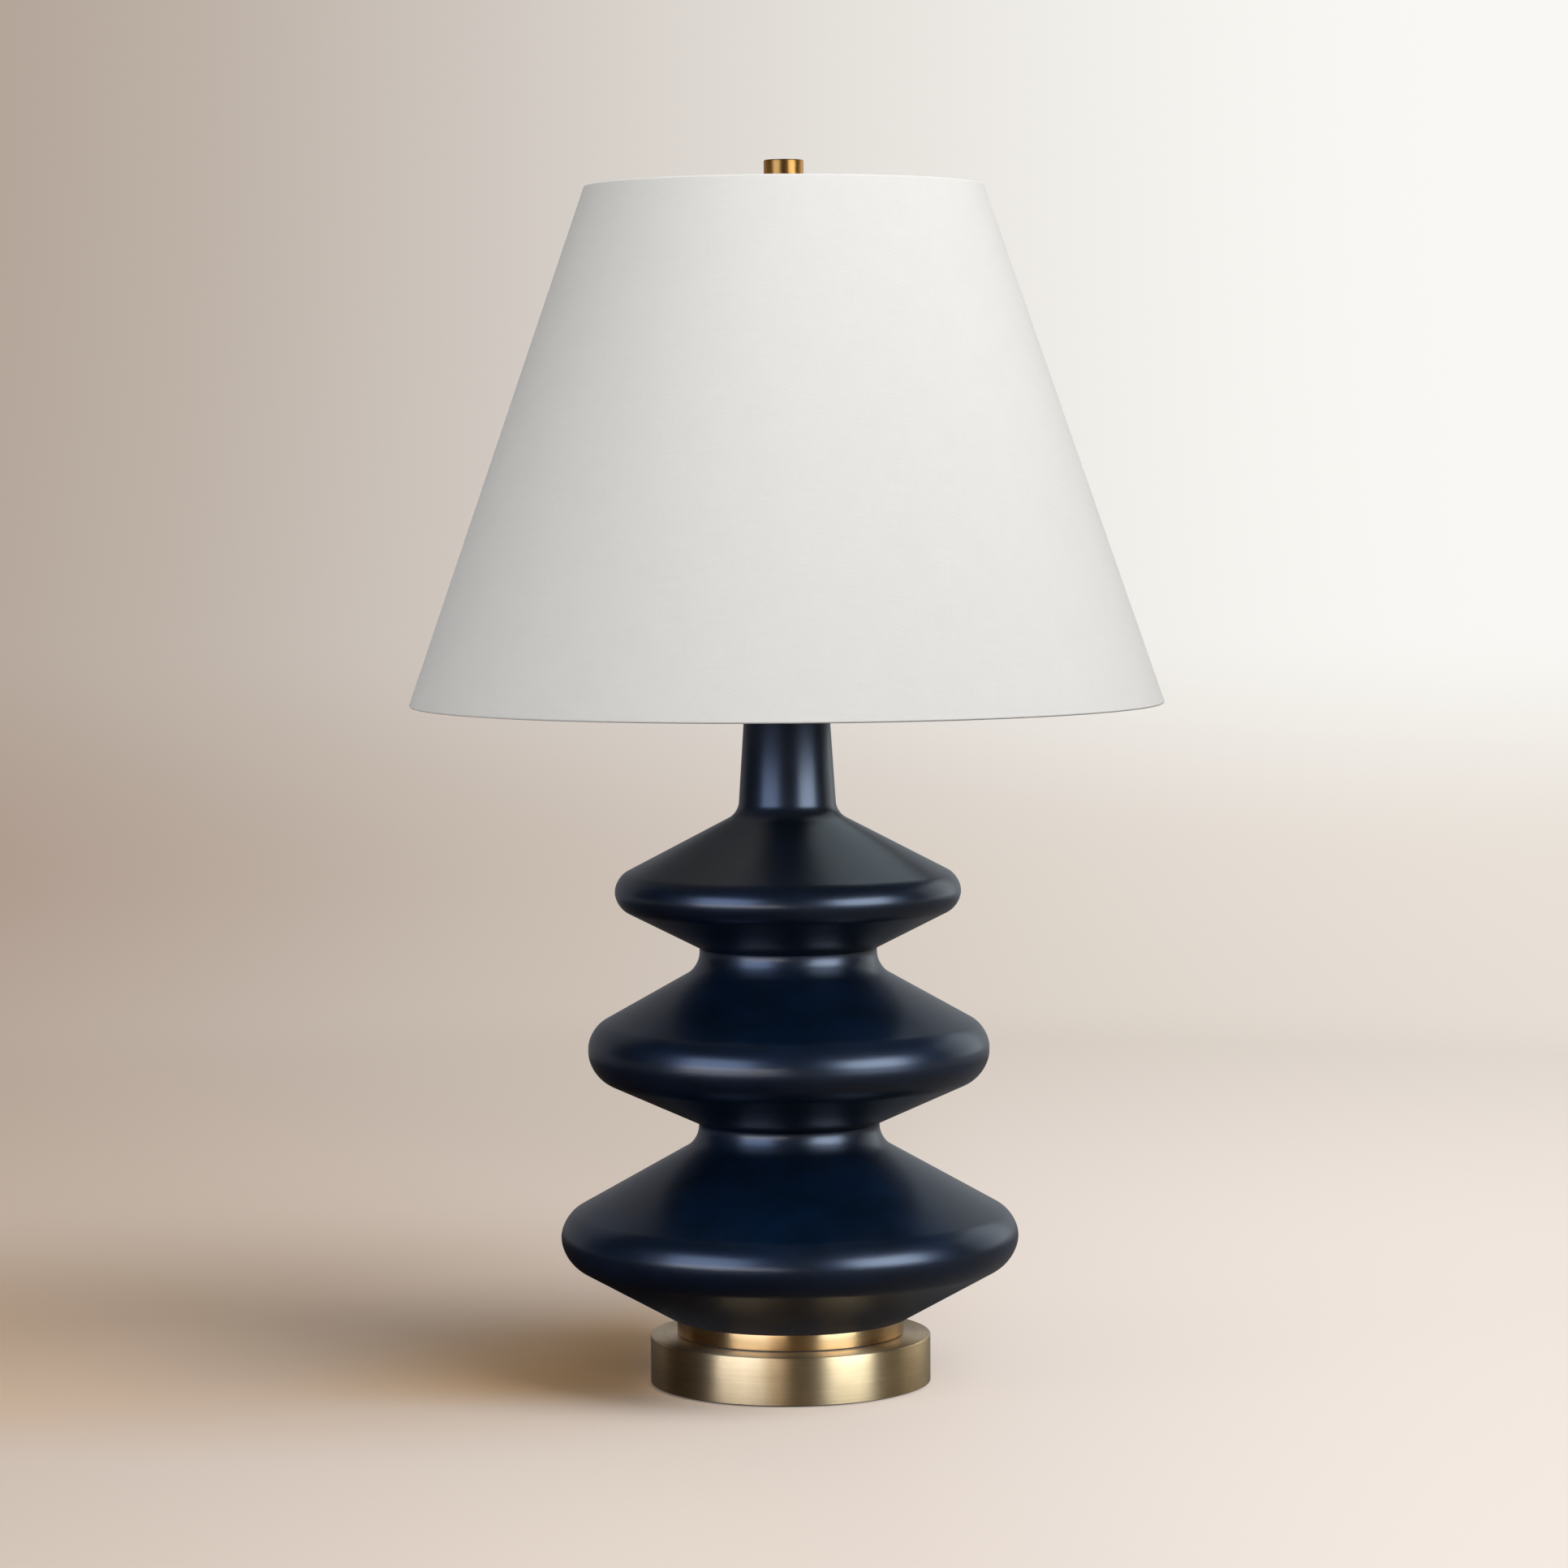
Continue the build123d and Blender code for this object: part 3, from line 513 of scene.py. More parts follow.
@dataclass(frozen=True)
class Corner:
    """A corner of a turned outline: its distance from the axis, its height and how far its round reaches."""

    radius: float
    height: float
    reach: float = 0.0
    steps: int = 4


def turned(corners: Sequence[Corner], steps: int = 192, closed: bool = True) -> bmesh.types.BMesh:
    """Turn an outline about the lamp's axis, as on a lathe.

    Args:
        corners: The outline's corners, in order.
        steps: How many faces go round.
        closed: Whether the last corner joins the first.

    Returns:
        The turned shape, with its normals outward where it is closed.
    """
    shape = bmesh.new()
    points = [shape.verts.new((corner.radius * MM, 0.0, corner.height * MM)) for corner in corners]
    chained(shape, points + points[:1] if closed else points)
    for point, corner in zip(points, corners):
        if corner.reach > 0:
            rounded(shape, [point], corner.reach, corner.steps, "VERTICES")
    bmesh.ops.spin(
        shape,
        geom=shape.verts[:] + shape.edges[:],
        cent=(0.0, 0.0, 0.0),
        axis=UP,
        dvec=(0.0, 0.0, 0.0),
        angle=FULL_TURN,
        steps=steps,
        use_merge=True,
        use_normal_flip=False,
        use_duplicate=False,
    )
    tidied(shape)
    return shape


def chained(shape: bmesh.types.BMesh, points: Sequence[bmesh.types.BMVert]) -> None:
    """Join each point to the next one with an edge."""
    for ends in zip(points, points[1:]):
        shape.edges.new(ends)


def band(hole: float, low: Corner, high: Corner) -> list[Corner]:
    """Return the outline of a washer from its hole's radius and its two outer edges."""
    return [Corner(hole, low.height), low, high, Corner(hole, high.height)]


def cup(foot: Corner, shoulder: Corner, lip: Corner, under: float) -> list[Corner]:
    """Return the outline of a cup that stands on its mouth and has the rod's hole in its plate.

    Args:
        foot: The outer edge of its mouth.
        shoulder: The outer edge of its plate.
        lip: The inner edge of its mouth.
        under: The height of its plate's underside.

    Returns:
        The outline's corners.
    """
    plate = [Corner(ROD_HOLE, shoulder.height), Corner(ROD_HOLE, under), Corner(lip.radius, under)]
    return [foot, shoulder, *plate, lip]


def thread(
    root: float, crest: float, span: tuple[float, float], pitch: float, reach: float = 0.0
) -> list[Corner]:
    """Return the outline of a thread.

    Args:
        root: Its radius in the grooves.
        crest: Its radius on the ridges.
        span: The height of its first groove, and the height that all its grooves lie below.
        pitch: The distance between its grooves.
        reach: How far the rounds of grooves and ridges reach.

    Returns:
        The outline's corners, upwards.
    """
    corners = []
    height, end = span
    while height < end:
        corners += [Corner(root, height, reach, 3), Corner(crest, height + pitch / 2, reach, 3)]
        height += pitch
    return corners


def laid(shape: bmesh.types.BMesh, height: float, turn: float) -> bmesh.types.BMesh:
    """Tip an upright shape about the X axis, lift it to a height in millimetres and return it."""
    lay = Matrix.Translation(UP * height * MM) @ Matrix.Rotation(turn, 4, "X")
    bmesh.ops.transform(shape, matrix=lay, verts=shape.verts[:])
    return shape


def rounded(
    shape: bmesh.types.BMesh, geometry: list[Element], reach: float, steps: int, affect: str = "EDGES"
) -> None:
    """Round edges or corners.

    Args:
        shape: The shape that they belong to.
        geometry: The edges or corners.
        reach: How far the round reaches from them, in millimetres.
        steps: How many faces it has.
        affect: EDGES or VERTICES.
    """
    bmesh.ops.bevel(
        shape,
        geom=geometry,
        offset=reach * MM,
        offset_type="OFFSET",
        segments=steps,
        profile=0.5,
        affect=affect,
        clamp_overlap=False,
        material=-1,
    )


def tidied(shape: bmesh.types.BMesh) -> None:
    """Merge doubled points and turn all faces outwards."""
    bmesh.ops.remove_doubles(shape, verts=shape.verts[:], dist=0.001 * MM)
    bmesh.ops.recalc_face_normals(shape, faces=shape.faces[:])


def block(size: Sequence[float], middle: Sequence[float], reach: float) -> bmesh.types.BMesh:
    """Make a block with rounded edges, its size and its middle in millimetres."""
    shape = bmesh.new()
    place = Matrix.Translation(Vector(middle) * MM) @ Matrix.Diagonal((*[side * MM for side in size], 1.0))
    bmesh.ops.create_cube(shape, size=1.0, matrix=place)
    rounded(shape, shape.edges[:], reach, 3)
    return shape


def bent_wire(
    points: Sequence[Sequence[float]], bends: Sequence[float], thickness: float
) -> bmesh.types.BMesh:
    """Bend a round wire through straight runs and arcs.

    Args:
        points: The runs' corners, ends included, in millimetres.
        bends: The radius of the arc at each corner between the ends.
        thickness: The wire's radius.

    Returns:
        The wire, closed at both ends.
    """
    shape = bmesh.new()
    corners = [Vector(point) * MM for point in points]
    heading = (corners[1] - corners[0]).normalized()
    place = Matrix.Translation(corners[0]) @ heading.to_track_quat("Z", "Y").to_matrix().to_4x4()
    bmesh.ops.create_circle(shape, cap_ends=False, segments=WIRE_SIDES, radius=thickness * MM, matrix=place)
    end = shape.verts[:] + shape.edges[:]
    at = corners[0]
    for index, corner in enumerate(corners[1:], 1):
        heading = (corner - corners[index - 1]).normalized()
        if index == len(corners) - 1:
            run_on(shape, end, corner - at)
            break
        leaving = (corners[index + 1] - corner).normalized()
        turn = heading.angle(leaving)
        radius = bends[index - 1] * MM
        start = corner - heading * radius * math.tan(turn / 2)
        end = run_on(shape, end, start - at)
        axis = heading.cross(leaving).normalized()
        centre = start + axis.cross(heading) * radius
        spun = bmesh.ops.spin(shape, geom=end, cent=centre, axis=axis, angle=turn, steps=BEND_STEPS)
        end = spun["geom_last"]
        at = corner + leaving * radius * math.tan(turn / 2)
    bmesh.ops.holes_fill(shape, edges=[edge for edge in shape.edges if edge.is_boundary], sides=0)
    tidied(shape)
    return shape


def run_on(shape: bmesh.types.BMesh, end: list[Element], way: Vector) -> list[Element]:
    """Extend an open end of a shape.

    Args:
        shape: The shape.
        end: The points and edges of its open end.
        way: How far and where to, in metres.

    Returns:
        The points and edges of the new end.
    """
    edges = [item for item in end if isinstance(item, bmesh.types.BMEdge)]
    made = bmesh.ops.extrude_edge_only(shape, edges=edges)["geom"]
    points = [item for item in made if isinstance(item, bmesh.types.BMVert)]
    bmesh.ops.translate(shape, verts=points, vec=way)
    return [item for item in made if not isinstance(item, bmesh.types.BMFace)]


def joined(first: bmesh.types.BMesh, *others: bmesh.types.BMesh) -> bmesh.types.BMesh:
    """Put more shapes into the first one and return it."""
    for other in others:
        spare = bpy.data.meshes.new("spare")
        other.to_mesh(spare)
        first.from_mesh(spare)
        bpy.data.meshes.remove(spare)
        other.free()
    return first


def linked(name: str, data: bpy.types.ID) -> bpy.types.Object:
    """Make an object of a mesh, a light or a camera, and put it into the scene."""
    made = bpy.data.objects.new(name, data)
    bpy.context.scene.collection.objects.link(made)
    return made


def meshed(name: str, shape: bmesh.types.BMesh, material: bpy.types.Material) -> bpy.types.Object:
    """Make a smooth object of a shape.

    Args:
        name: The name of the object and of its mesh.
        shape: The shape, which is freed.
        material: Its material.

    Returns:
        The object.
    """
    mesh = bpy.data.meshes.new(name)
    shape.to_mesh(mesh)
    shape.free()
    mesh.polygons.foreach_set("use_smooth", [True] * len(mesh.polygons))
    mesh.materials.append(material)
    return linked(name, mesh)


def added(
    name: str, shape: bmesh.types.BMesh, finish: Finish, body: str, *nodes: str, crease: float = 32.0
) -> bpy.types.Object:
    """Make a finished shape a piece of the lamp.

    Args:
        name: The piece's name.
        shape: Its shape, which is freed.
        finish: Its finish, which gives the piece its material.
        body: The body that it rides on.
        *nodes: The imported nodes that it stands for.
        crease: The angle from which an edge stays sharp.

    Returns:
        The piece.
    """
    piece = meshed(name, shape, finish.material())
    piece.data.set_sharp_from_angle(angle=math.radians(crease))
    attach(piece, body)
    if nodes:
        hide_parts(*nodes)
    log.info("%s: %d faces on %s", name, len(piece.data.polygons), body)
    return piece


@dataclass
class BrassBase:
    """The round base: a hollow brass disc on a felt pad, and the smaller brass ring under the gourd."""

    disc_radius: float = 80.7
    disc_bottom: float = 1.0
    disc_top: float = 28.2
    wall: float = 2.0
    plate: float = 2.4
    edge: float = 0.9
    ring_radius: float = 65.3
    ring_bottom: float = 29.2
    ring_top: float = 38.4
    ring_wall: float = 4.5
    ring_plate: float = 3.0
    ring_edge: float = 0.45
    pad_radius: float = 78.2
    pad_top: float = 3.0
    inlet_height: float = 12.0
    inlet_radius: float = 3.2
    grommet_neck: float = 4.9
    grommet_flange: float = 6.5
    grommet_lip: float = 1.8

    def build(self) -> None:
        """Build the disc, the ring, the pad and the grommet."""
        self.disc()
        self.ring()
        self.pad()
        self.grommet()

    def disc(self) -> None:
        """Turn the brass shell with its lightly broken upper edge."""
        corners = cup(
            Corner(self.disc_radius, self.disc_bottom, 0.3, 2),
            Corner(self.disc_radius, self.disc_top, self.edge, 5),
            Corner(self.disc_radius - self.wall, self.disc_bottom, 0.3, 2),
            self.disc_top - self.plate,
        )
        added("disc_shell", turned(corners, 256), BRUSHED_BRASS, "lamp", "base_disc")

    def ring(self) -> None:
        """Turn the golden ring that the gourd stands on."""
        corners = cup(
            Corner(self.ring_radius, self.ring_bottom, 0.4, 3),
            Corner(self.ring_radius, self.ring_top, self.ring_edge, 4),
            Corner(self.ring_radius - self.ring_wall, self.ring_bottom),
            self.ring_top - self.ring_plate,
        )
        added("ring_shell", turned(corners, 256), GOLDEN_BRASS, "lamp", "base_ring")

    def pad(self) -> None:
        """Turn the felt pad, its edge pressed round by the lamp's weight."""
        corners = [
            Corner(0.0, 0.0),
            Corner(self.pad_radius, 0.0, 1.0, 4),
            Corner(self.pad_radius, self.pad_top, 0.3, 2),
            Corner(0.0, self.pad_top),
        ]
        added("pad", turned(corners, 160, closed=False), FELT, "lamp", "felt_pad")

    def grommet(self) -> None:
        """Turn the cord grommet and lay it into the hole at the back of the disc."""
        low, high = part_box("cord_grommet")
        start, end = low.y / MM, high.y / MM
        neck, flange, lip = self.grommet_neck, self.grommet_flange, self.grommet_lip
        corners = [
            Corner(self.inlet_radius, start, 0.3, 2),
            Corner(flange, start, 0.4, 3),
            Corner(flange, start + lip, 0.3, 2),
            Corner(neck, start + lip),
            Corner(neck, end - lip),
            Corner(flange, end - lip, 0.2, 2),
            Corner(flange, end, 0.9, 5),
            Corner(self.inlet_radius, end, 0.6, 4),
        ]
        shape = laid(turned(corners, 64), self.inlet_height, -math.pi / 2)
        added("grommet", shape, RUBBER, "lamp", "cord_grommet")


@dataclass
class GourdBody:
    """The glazed body: three flattened lobes of falling size, two narrow waists and a slim neck.

    Attributes:
        foot: The height of its foot, from which its other heights count.
        lobes: For each lobe its radius, the heights where its side starts and ends, and the reach of the
            rounds below and above.
        waists: For each waist its radius and the heights where it starts and ends.
        waist_reach: The reach of the round below each waist.
        lip_reach: The reach of the small round above it.
        neck_foot: The radius and the height where the neck starts.
        neck_top: The radius and the height of its mouth.
        recess: The radius and the depth of the hollow under the foot.
    """

    foot: float = 38.4
    foot_radius: float = 68.0
    lobes: tuple[tuple[float, float, float, float, float], ...] = (
        (131.6, 35.7, 57.1, 11.07, 9.92),
        (115.3, 141.5, 166.0, 12.13, 9.93),
        (99.3, 238.0, 253.6, 7.54, 7.55),
    )
    waists: tuple[tuple[float, float, float], ...] = ((52.0, 102.2, 112.5), (51.0, 202.3, 213.4))
    waist_reach: float = 8.28
    lip_reach: float = 0.64
    neck_foot: tuple[float, float] = (28.2, 290.8)
    neck_reach: float = 6.0
    neck_top: tuple[float, float] = (22.3, 382.0)
    wall: float = 5.0
    hole: float = 9.0
    recess: tuple[float, float] = (57.0, 2.0)

    def outside(self) -> list[Corner]:
        """Return the outline of the outer face, from the foot up to the mouth."""
        corners = [Corner(self.foot_radius, self.foot, 0.8, 3)]
        for index, (radius, low, high, under, over) in enumerate(self.lobes):
            corners.append(Corner(radius, self.foot + low, under, 14))
            corners.append(Corner(radius, self.foot + high, over, 14))
            if index < len(self.waists):
                waist, start, end = self.waists[index]
                corners.append(Corner(waist, self.foot + start, self.waist_reach, 10))
                corners.append(Corner(waist, self.foot + end, self.lip_reach, 3))
        (foot_radius, foot_rise), (top_radius, top_rise) = self.neck_foot, self.neck_top
        corners.append(Corner(foot_radius, self.foot + foot_rise, self.neck_reach, 8))
        corners.append(Corner(top_radius, self.foot + top_rise, 0.5, 2))
        return corners

    def inside(self) -> list[Corner]:
        """Return the outline of the hollow, from the mouth down to the hole in the floor."""
        slack = 2 * self.wall
        (foot_radius, foot_rise), (top_radius, top_rise) = self.neck_foot, self.neck_top
        corners = [
            Corner(top_radius - self.wall, self.foot + top_rise),
            Corner(foot_radius - self.wall, self.foot + foot_rise - self.wall),
        ]
        for index, (radius, low, high, _, _) in reversed(list(enumerate(self.lobes))):
            corners.append(Corner(radius - slack, self.foot + (low + high) / 2))
            if index > 0:
                waist, start, end = self.waists[index - 1]
                corners.append(Corner(waist - self.wall, self.foot + end))
                corners.append(Corner(waist - self.wall, self.foot + start))
        recess_radius, recess_depth = self.recess
        under = self.foot + recess_depth
        floor = under + self.wall
        corners += [Corner(self.foot_radius - slack, floor), Corner(self.hole, floor)]
        corners += [Corner(self.hole, under), Corner(recess_radius, under), Corner(recess_radius, self.foot)]
        return corners

    def build(self) -> None:
        """Turn the whole body as one closed wall."""
        shape = turned([*self.outside(), *self.inside()], 256)
        added("body_glazed", shape, NAVY_GLAZE, "lamp", "gourd_body", crease=40.0)


@dataclass
class NeckHardware:
    """The brass cap over the mouth of the neck and the round nut on it."""

    cap_low: float = 414.4
    cap_under: float = 421.9
    cap_top: float = 423.5
    cap_wall: float = 1.2
    nut_hole: float = 4.9
    nut_radius: float = 10.5
    nut_top: float = 428.4
    knurls: int = 32
    knurl_depth: float = 0.35
    knurl_reach: float = 0.7

    def build(self) -> None:
        """Turn the cap and the nut."""
        self.cap()
        self.nut()

    def cap(self) -> None:
        """Turn the cap, with a rolled lower rim."""
        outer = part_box("neck_cap")[1].x / MM
        corners = cup(
            Corner(outer, self.cap_low, 0.55, 4),
            Corner(outer, self.cap_top, 0.8, 5),
            Corner(outer - self.cap_wall, self.cap_low, 0.55, 4),
            self.cap_under,
        )
        added("neck_cap_turned", turned(corners), GOLDEN_BRASS, "lamp", "neck_cap")

    def nut(self) -> None:
        """Turn the nut and press a coarse knurl into its side."""
        low = Corner(self.nut_radius, self.cap_top, 0.4, 2)
        high = Corner(self.nut_radius, self.nut_top, 1.0, 3)
        shape = turned(band(self.nut_hole, low, high), 96)
        fluted(shape, self.nut_radius - self.knurl_reach, self.knurls, self.knurl_depth)
        added("neck_nut_knurled", shape, PLAIN_BRASS, "lamp", "neck_nut")


def fluted(shape: bmesh.types.BMesh, beyond: float, count: int, depth: float) -> None:
    """Press flutes into the side of a shape that is turned about the Z axis.

    Args:
        shape: The shape.
        beyond: The radius beyond which points move, in millimetres.
        count: How many flutes go round.
        depth: How deep they are, in millimetres.
    """
    for point in shape.verts:
        across = Vector((point.co.x, point.co.y, 0.0))
        if across.length > beyond * MM:
            wave = 0.5 - 0.5 * math.cos(count * math.atan2(point.co.y, point.co.x))
            point.co -= across.normalized() * wave * depth * MM


@dataclass
class Harp:
    """The harp: a bent brass wire on a saddle, locked by two sleeves, with the stud that takes the finial."""

    saddle_top: float = 430.0
    top: float = 673.2
    leg: float = 34.35
    half_width: float = 57.0
    top_half_width: float = 24.0
    wire: float = 1.6
    rises: tuple[float, float, float] = (48.0, 105.0, 182.0)
    bends: tuple[float, ...] = (34.0, 60.0, 46.0, 22.0)
    blade_low: float = 438.4
    blade_high: float = 454.4
    blade_section: tuple[float, float] = (1.6, 4.0)
    boss_hole: float = 3.4
    boss_radius: float = 7.0
    boss_half: float = 2.3
    stud_head: tuple[float, float] = (5.2, 1.6)
    stud_shank: float = 3.3
    flange_radius: float = 8.5
    flange_span: tuple[float, float] = (0.1, 1.9)
    thread_crest: float = 3.1
    thread_root: float = 2.75
    thread_pitch: float = 0.94
    sleeve_round: float = 1.6
    sleeve_wall: float = 0.8

    def build(self) -> None:
        """Build the bow, the stud and the two sleeves."""
        self.bow()
        self.stud()
        for side in Side:
            self.sleeve(side)

    def bow(self) -> None:
        """Bend the wire, flatten its feet and add the boss at its top."""
        leg_end, side_start, side_end = (self.saddle_top + rise for rise in self.rises)
        half = [
            (self.leg, 0.0, self.blade_high),
            (self.leg, 0.0, leg_end),
            (self.half_width, 0.0, side_start),
            (self.half_width, 0.0, side_end),
            (self.top_half_width, 0.0, self.top),
        ]
        points = half + [(-x, y, z) for x, y, z in reversed(half)]
        shape = bent_wire(points, self.bends + self.bends[::-1], self.wire)
        length = self.blade_high - self.blade_low + self.wire
        middle = self.blade_low + length / 2
        size = (*self.blade_section, length)
        blades = [block(size, (side.value * self.leg, 0.0, middle), 0.35) for side in Side]
        low = Corner(self.boss_radius, self.top - self.boss_half, 0.6, 3)
        high = Corner(self.boss_radius, self.top + self.boss_half, 0.6, 3)
        boss = turned(band(self.boss_hole, low, high), 64)
        added("bow_wire", joined(shape, *blades, boss), PLAIN_BRASS, "harp", "harp_bow")

    def stud(self) -> None:
        """Turn the swivelling stud with its flange and its threaded end."""
        low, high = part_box("harp_stud")
        foot, tip = low.z / MM, high.z / MM
        flange_low, flange_high = (self.top + self.boss_half + rise for rise in self.flange_span)
        head, head_height = self.stud_head
        corners = [
            Corner(0.0, foot),
            Corner(head, foot, 0.7, 3),
            Corner(head, foot + head_height, 0.2, 2),
            Corner(self.stud_shank, foot + head_height),
            Corner(self.stud_shank, flange_low),
            Corner(self.flange_radius, flange_low, 0.3, 2),
            Corner(self.flange_radius, flange_high, 0.5, 3),
            Corner(self.thread_crest, flange_high),
        ]
        span = (flange_high + 0.6, tip - 1.2)
        corners += thread(self.thread_root, self.thread_crest, span, self.thread_pitch)
        corners += [Corner(self.thread_root - 0.15, tip - 0.3, 0.2, 2), Corner(0.0, tip)]
        shape = turned(corners, 48, closed=False)
        added("stud_turned", shape, PLAIN_BRASS, "stud", "harp_stud", crease=25.0)

    def sleeve(self, side: Side) -> None:
        """Make one sleeve, a flattened tube with a rounded mouth."""
        node = f"harp_sleeve_{side.name.lower()}"
        low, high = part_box(node)
        middle = (high + low) / 2
        shape = bmesh.new()
        place = Matrix.Translation(middle) @ Matrix.Diagonal((*(high - low), 1.0))
        bmesh.ops.create_cube(shape, size=1.0, matrix=place)
        upright = [edge for edge in shape.edges if abs(edge.verts[0].co.z - edge.verts[1].co.z) > MM]
        rounded(shape, upright, self.sleeve_round, 5)
        caps = [face for face in shape.faces if abs(face.normal.z) > 0.9]
        bmesh.ops.delete(shape, geom=caps, context="FACES_ONLY")
        bmesh.ops.recalc_face_normals(shape, faces=shape.faces[:])
        if sum(face.normal.dot(face.calc_center_median() - middle) for face in shape.faces) < 0:
            bmesh.ops.reverse_faces(shape, faces=shape.faces[:])
        bmesh.ops.solidify(shape, geom=shape.faces[:], thickness=self.sleeve_wall * MM)
        added(f"{node}_pressed", shape, PLAIN_BRASS, node.removeprefix("harp_"), node)


@dataclass
class LampHolder:
    """The brass lamp holder: a cap, a shell with rolled beads, and the knob of its turn switch."""

    saddle_top: float = 430.0
    rod_radius: float = 4.9
    hub_radius: float = 7.5
    hub_height: float = 8.4
    cap_height: float = 22.0
    cap_radius: float = 16.9
    shell_low: float = 446.4
    shell_high: float = 487.4
    shell_radius: float = 17.65
    bead: float = 0.75
    bead_height: float = 2.0
    wall: float = 0.7
    lines: tuple[float, float] = (26.0, 31.0)
    line_half: float = 0.8
    line_depth: float = 0.35
    knob_radius: float = 6.0
    knob_dish: float = 0.5
    flutes: int = 18
    flute_depth: float = 0.6
    switch_height: float = 459.4

    def build(self) -> None:
        """Build the cap, the shell and the knob."""
        self.cap()
        self.shell()
        self.knob()

    def cap(self) -> None:
        """Turn the cap that screws onto the rod, its shoulder pressed round."""
        floor = self.saddle_top + self.hub_height
        top = self.saddle_top + self.cap_height
        corners = [
            Corner(self.rod_radius, self.saddle_top),
            Corner(self.hub_radius, self.saddle_top, 0.4, 2),
            Corner(self.hub_radius, floor, 0.6, 3),
            Corner(self.cap_radius, floor, 1.4, 6),
            Corner(self.cap_radius, top),
            Corner(self.cap_radius - self.wall, top),
            Corner(self.cap_radius - self.wall, floor + self.wall, 0.8, 4),
            Corner(self.rod_radius, floor + self.wall),
        ]
        added("holder_cap", turned(corners, 128), PLAIN_BRASS, "lamp", "socket_cap")

    def shell(self) -> None:
        """Turn the shell, with a rolled bead at its foot and at its mouth and two pressed lines."""
        inner = self.shell_radius - self.wall
        full = self.shell_radius + self.bead
        bead_top, bead_foot = self.shell_low + self.bead_height, self.shell_high - self.bead_height
        corners = [
            Corner(inner, self.shell_low),
            Corner(full, self.shell_low, 0.8, 4),
            Corner(full, bead_top, 0.8, 4),
            Corner(self.shell_radius, bead_top),
        ]
        for rise in self.lines:
            line = self.shell_low + rise
            corners += [
                Corner(self.shell_radius, line - self.line_half),
                Corner(self.shell_radius - self.line_depth, line, 0.3, 2),
                Corner(self.shell_radius, line + self.line_half),
            ]
        corners += [
            Corner(self.shell_radius, bead_foot),
            Corner(full, bead_foot, 0.8, 4),
            Corner(full, self.shell_high, 0.8, 4),
            Corner(inner, self.shell_high, 0.3, 2),
        ]
        added("holder_shell", turned(corners, 128), PLAIN_BRASS, "lamp", "socket_shell")

    def knob(self) -> None:
        """Turn the fluted knob and lay it to the front."""
        low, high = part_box("switch_knob")
        start, end = -high.y / MM, -low.y / MM
        corners = [
            Corner(0.0, start),
            Corner(self.knob_radius - 1.2, start, 0.3, 2),
            Corner(self.knob_radius, start + 1.6, 0.6, 3),
            Corner(self.knob_radius, end, 1.2, 5),
            Corner(self.knob_radius - 2.4, end, 0.3, 2),
            Corner(self.knob_radius - 2.8, end - self.knob_dish, 0.2, 2),
            Corner(0.0, end - self.knob_dish),
        ]
        shape = turned(corners, 144, closed=False)
        fluted(shape, self.knob_radius - 1.0, self.flutes, self.flute_depth)
        shape = laid(shape, self.switch_height, math.pi / 2)
        added("knob_fluted", shape, BLACK_PLASTIC, "switch", "switch_knob")


@dataclass
class Bulb:
    """A lamp bulb: a frosted globe on a white housing over a threaded metal cap."""

    cap_radius: float = 12.9
    cap_wall: float = 1.2
    groove: float = 0.75
    cap_low: float = 470.0
    cap_high: float = 491.0
    housing_radius: float = 26.0
    housing_high: float = 521.0
    globe_radius: float = 30.0
    top: float = 575.0
    wall: float = 1.6
    glass: float = 1.0
    pitch: float = 3.63

    def build(self) -> None:
        """Build the cap, the housing and the globe."""
        self.cap()
        self.housing()
        self.globe()

    def cap(self) -> None:
        """Turn the screw cap with its rounded thread."""
        inner = self.cap_radius - self.cap_wall
        corners = [Corner(inner, self.cap_low), Corner(self.cap_radius - 0.8, self.cap_low, 0.3, 2)]
        span = (self.cap_low + 1.6, self.cap_high - 2.6)
        corners += thread(self.cap_radius - self.groove, self.cap_radius, span, self.pitch, 0.7)
        corners += [
            Corner(self.cap_radius - 0.6, self.cap_high - 1.4, 0.4, 2),
            Corner(self.cap_radius, self.cap_high - 0.8, 0.3, 2),
            Corner(self.cap_radius, self.cap_high),
            Corner(inner, self.cap_high),
        ]
        added("bulb_cap_threaded", turned(corners, 96), ALUMINIUM, "bulb", "bulb_cap")

    def housing(self) -> None:
        """Turn the white housing: a slim collar that flares out to the globe."""
        corners = [
            Corner(self.cap_radius - self.wall, self.cap_high),
            Corner(self.cap_radius, self.cap_high, 0.3, 2),
            Corner(self.cap_radius + 0.9, self.cap_high + 3.0, 1.2, 4),
            Corner(self.housing_radius - 1.4, self.housing_high - 4.0, 2.5, 6),
            Corner(self.housing_radius, self.housing_high, 0.3, 2),
            Corner(self.housing_radius - self.wall, self.housing_high),
        ]
        shape = turned(corners, 128)
        added("bulb_housing_moulded", shape, WHITE_PLASTIC, "bulb", "bulb_housing")

    def globe(self) -> None:
        """Turn the frosted globe as one closed wall."""
        middle = self.top - self.globe_radius
        inner = self.globe_radius - self.glass
        corners = [
            Corner(0.0, self.top),
            Corner(self.globe_radius, self.top, self.globe_radius, 24),
            Corner(self.globe_radius, middle, 3.0, 4),
            Corner(self.housing_radius, self.housing_high),
            Corner(self.housing_radius - self.glass, self.housing_high),
            Corner(inner, middle, 3.0, 4),
            Corner(inner, self.top - self.glass, inner, 24),
            Corner(0.0, self.top - self.glass),
        ]
        shape = turned(corners, 128, closed=False)
        added("bulb_globe_frosted", shape, OPAL, "bulb", "bulb_globe")


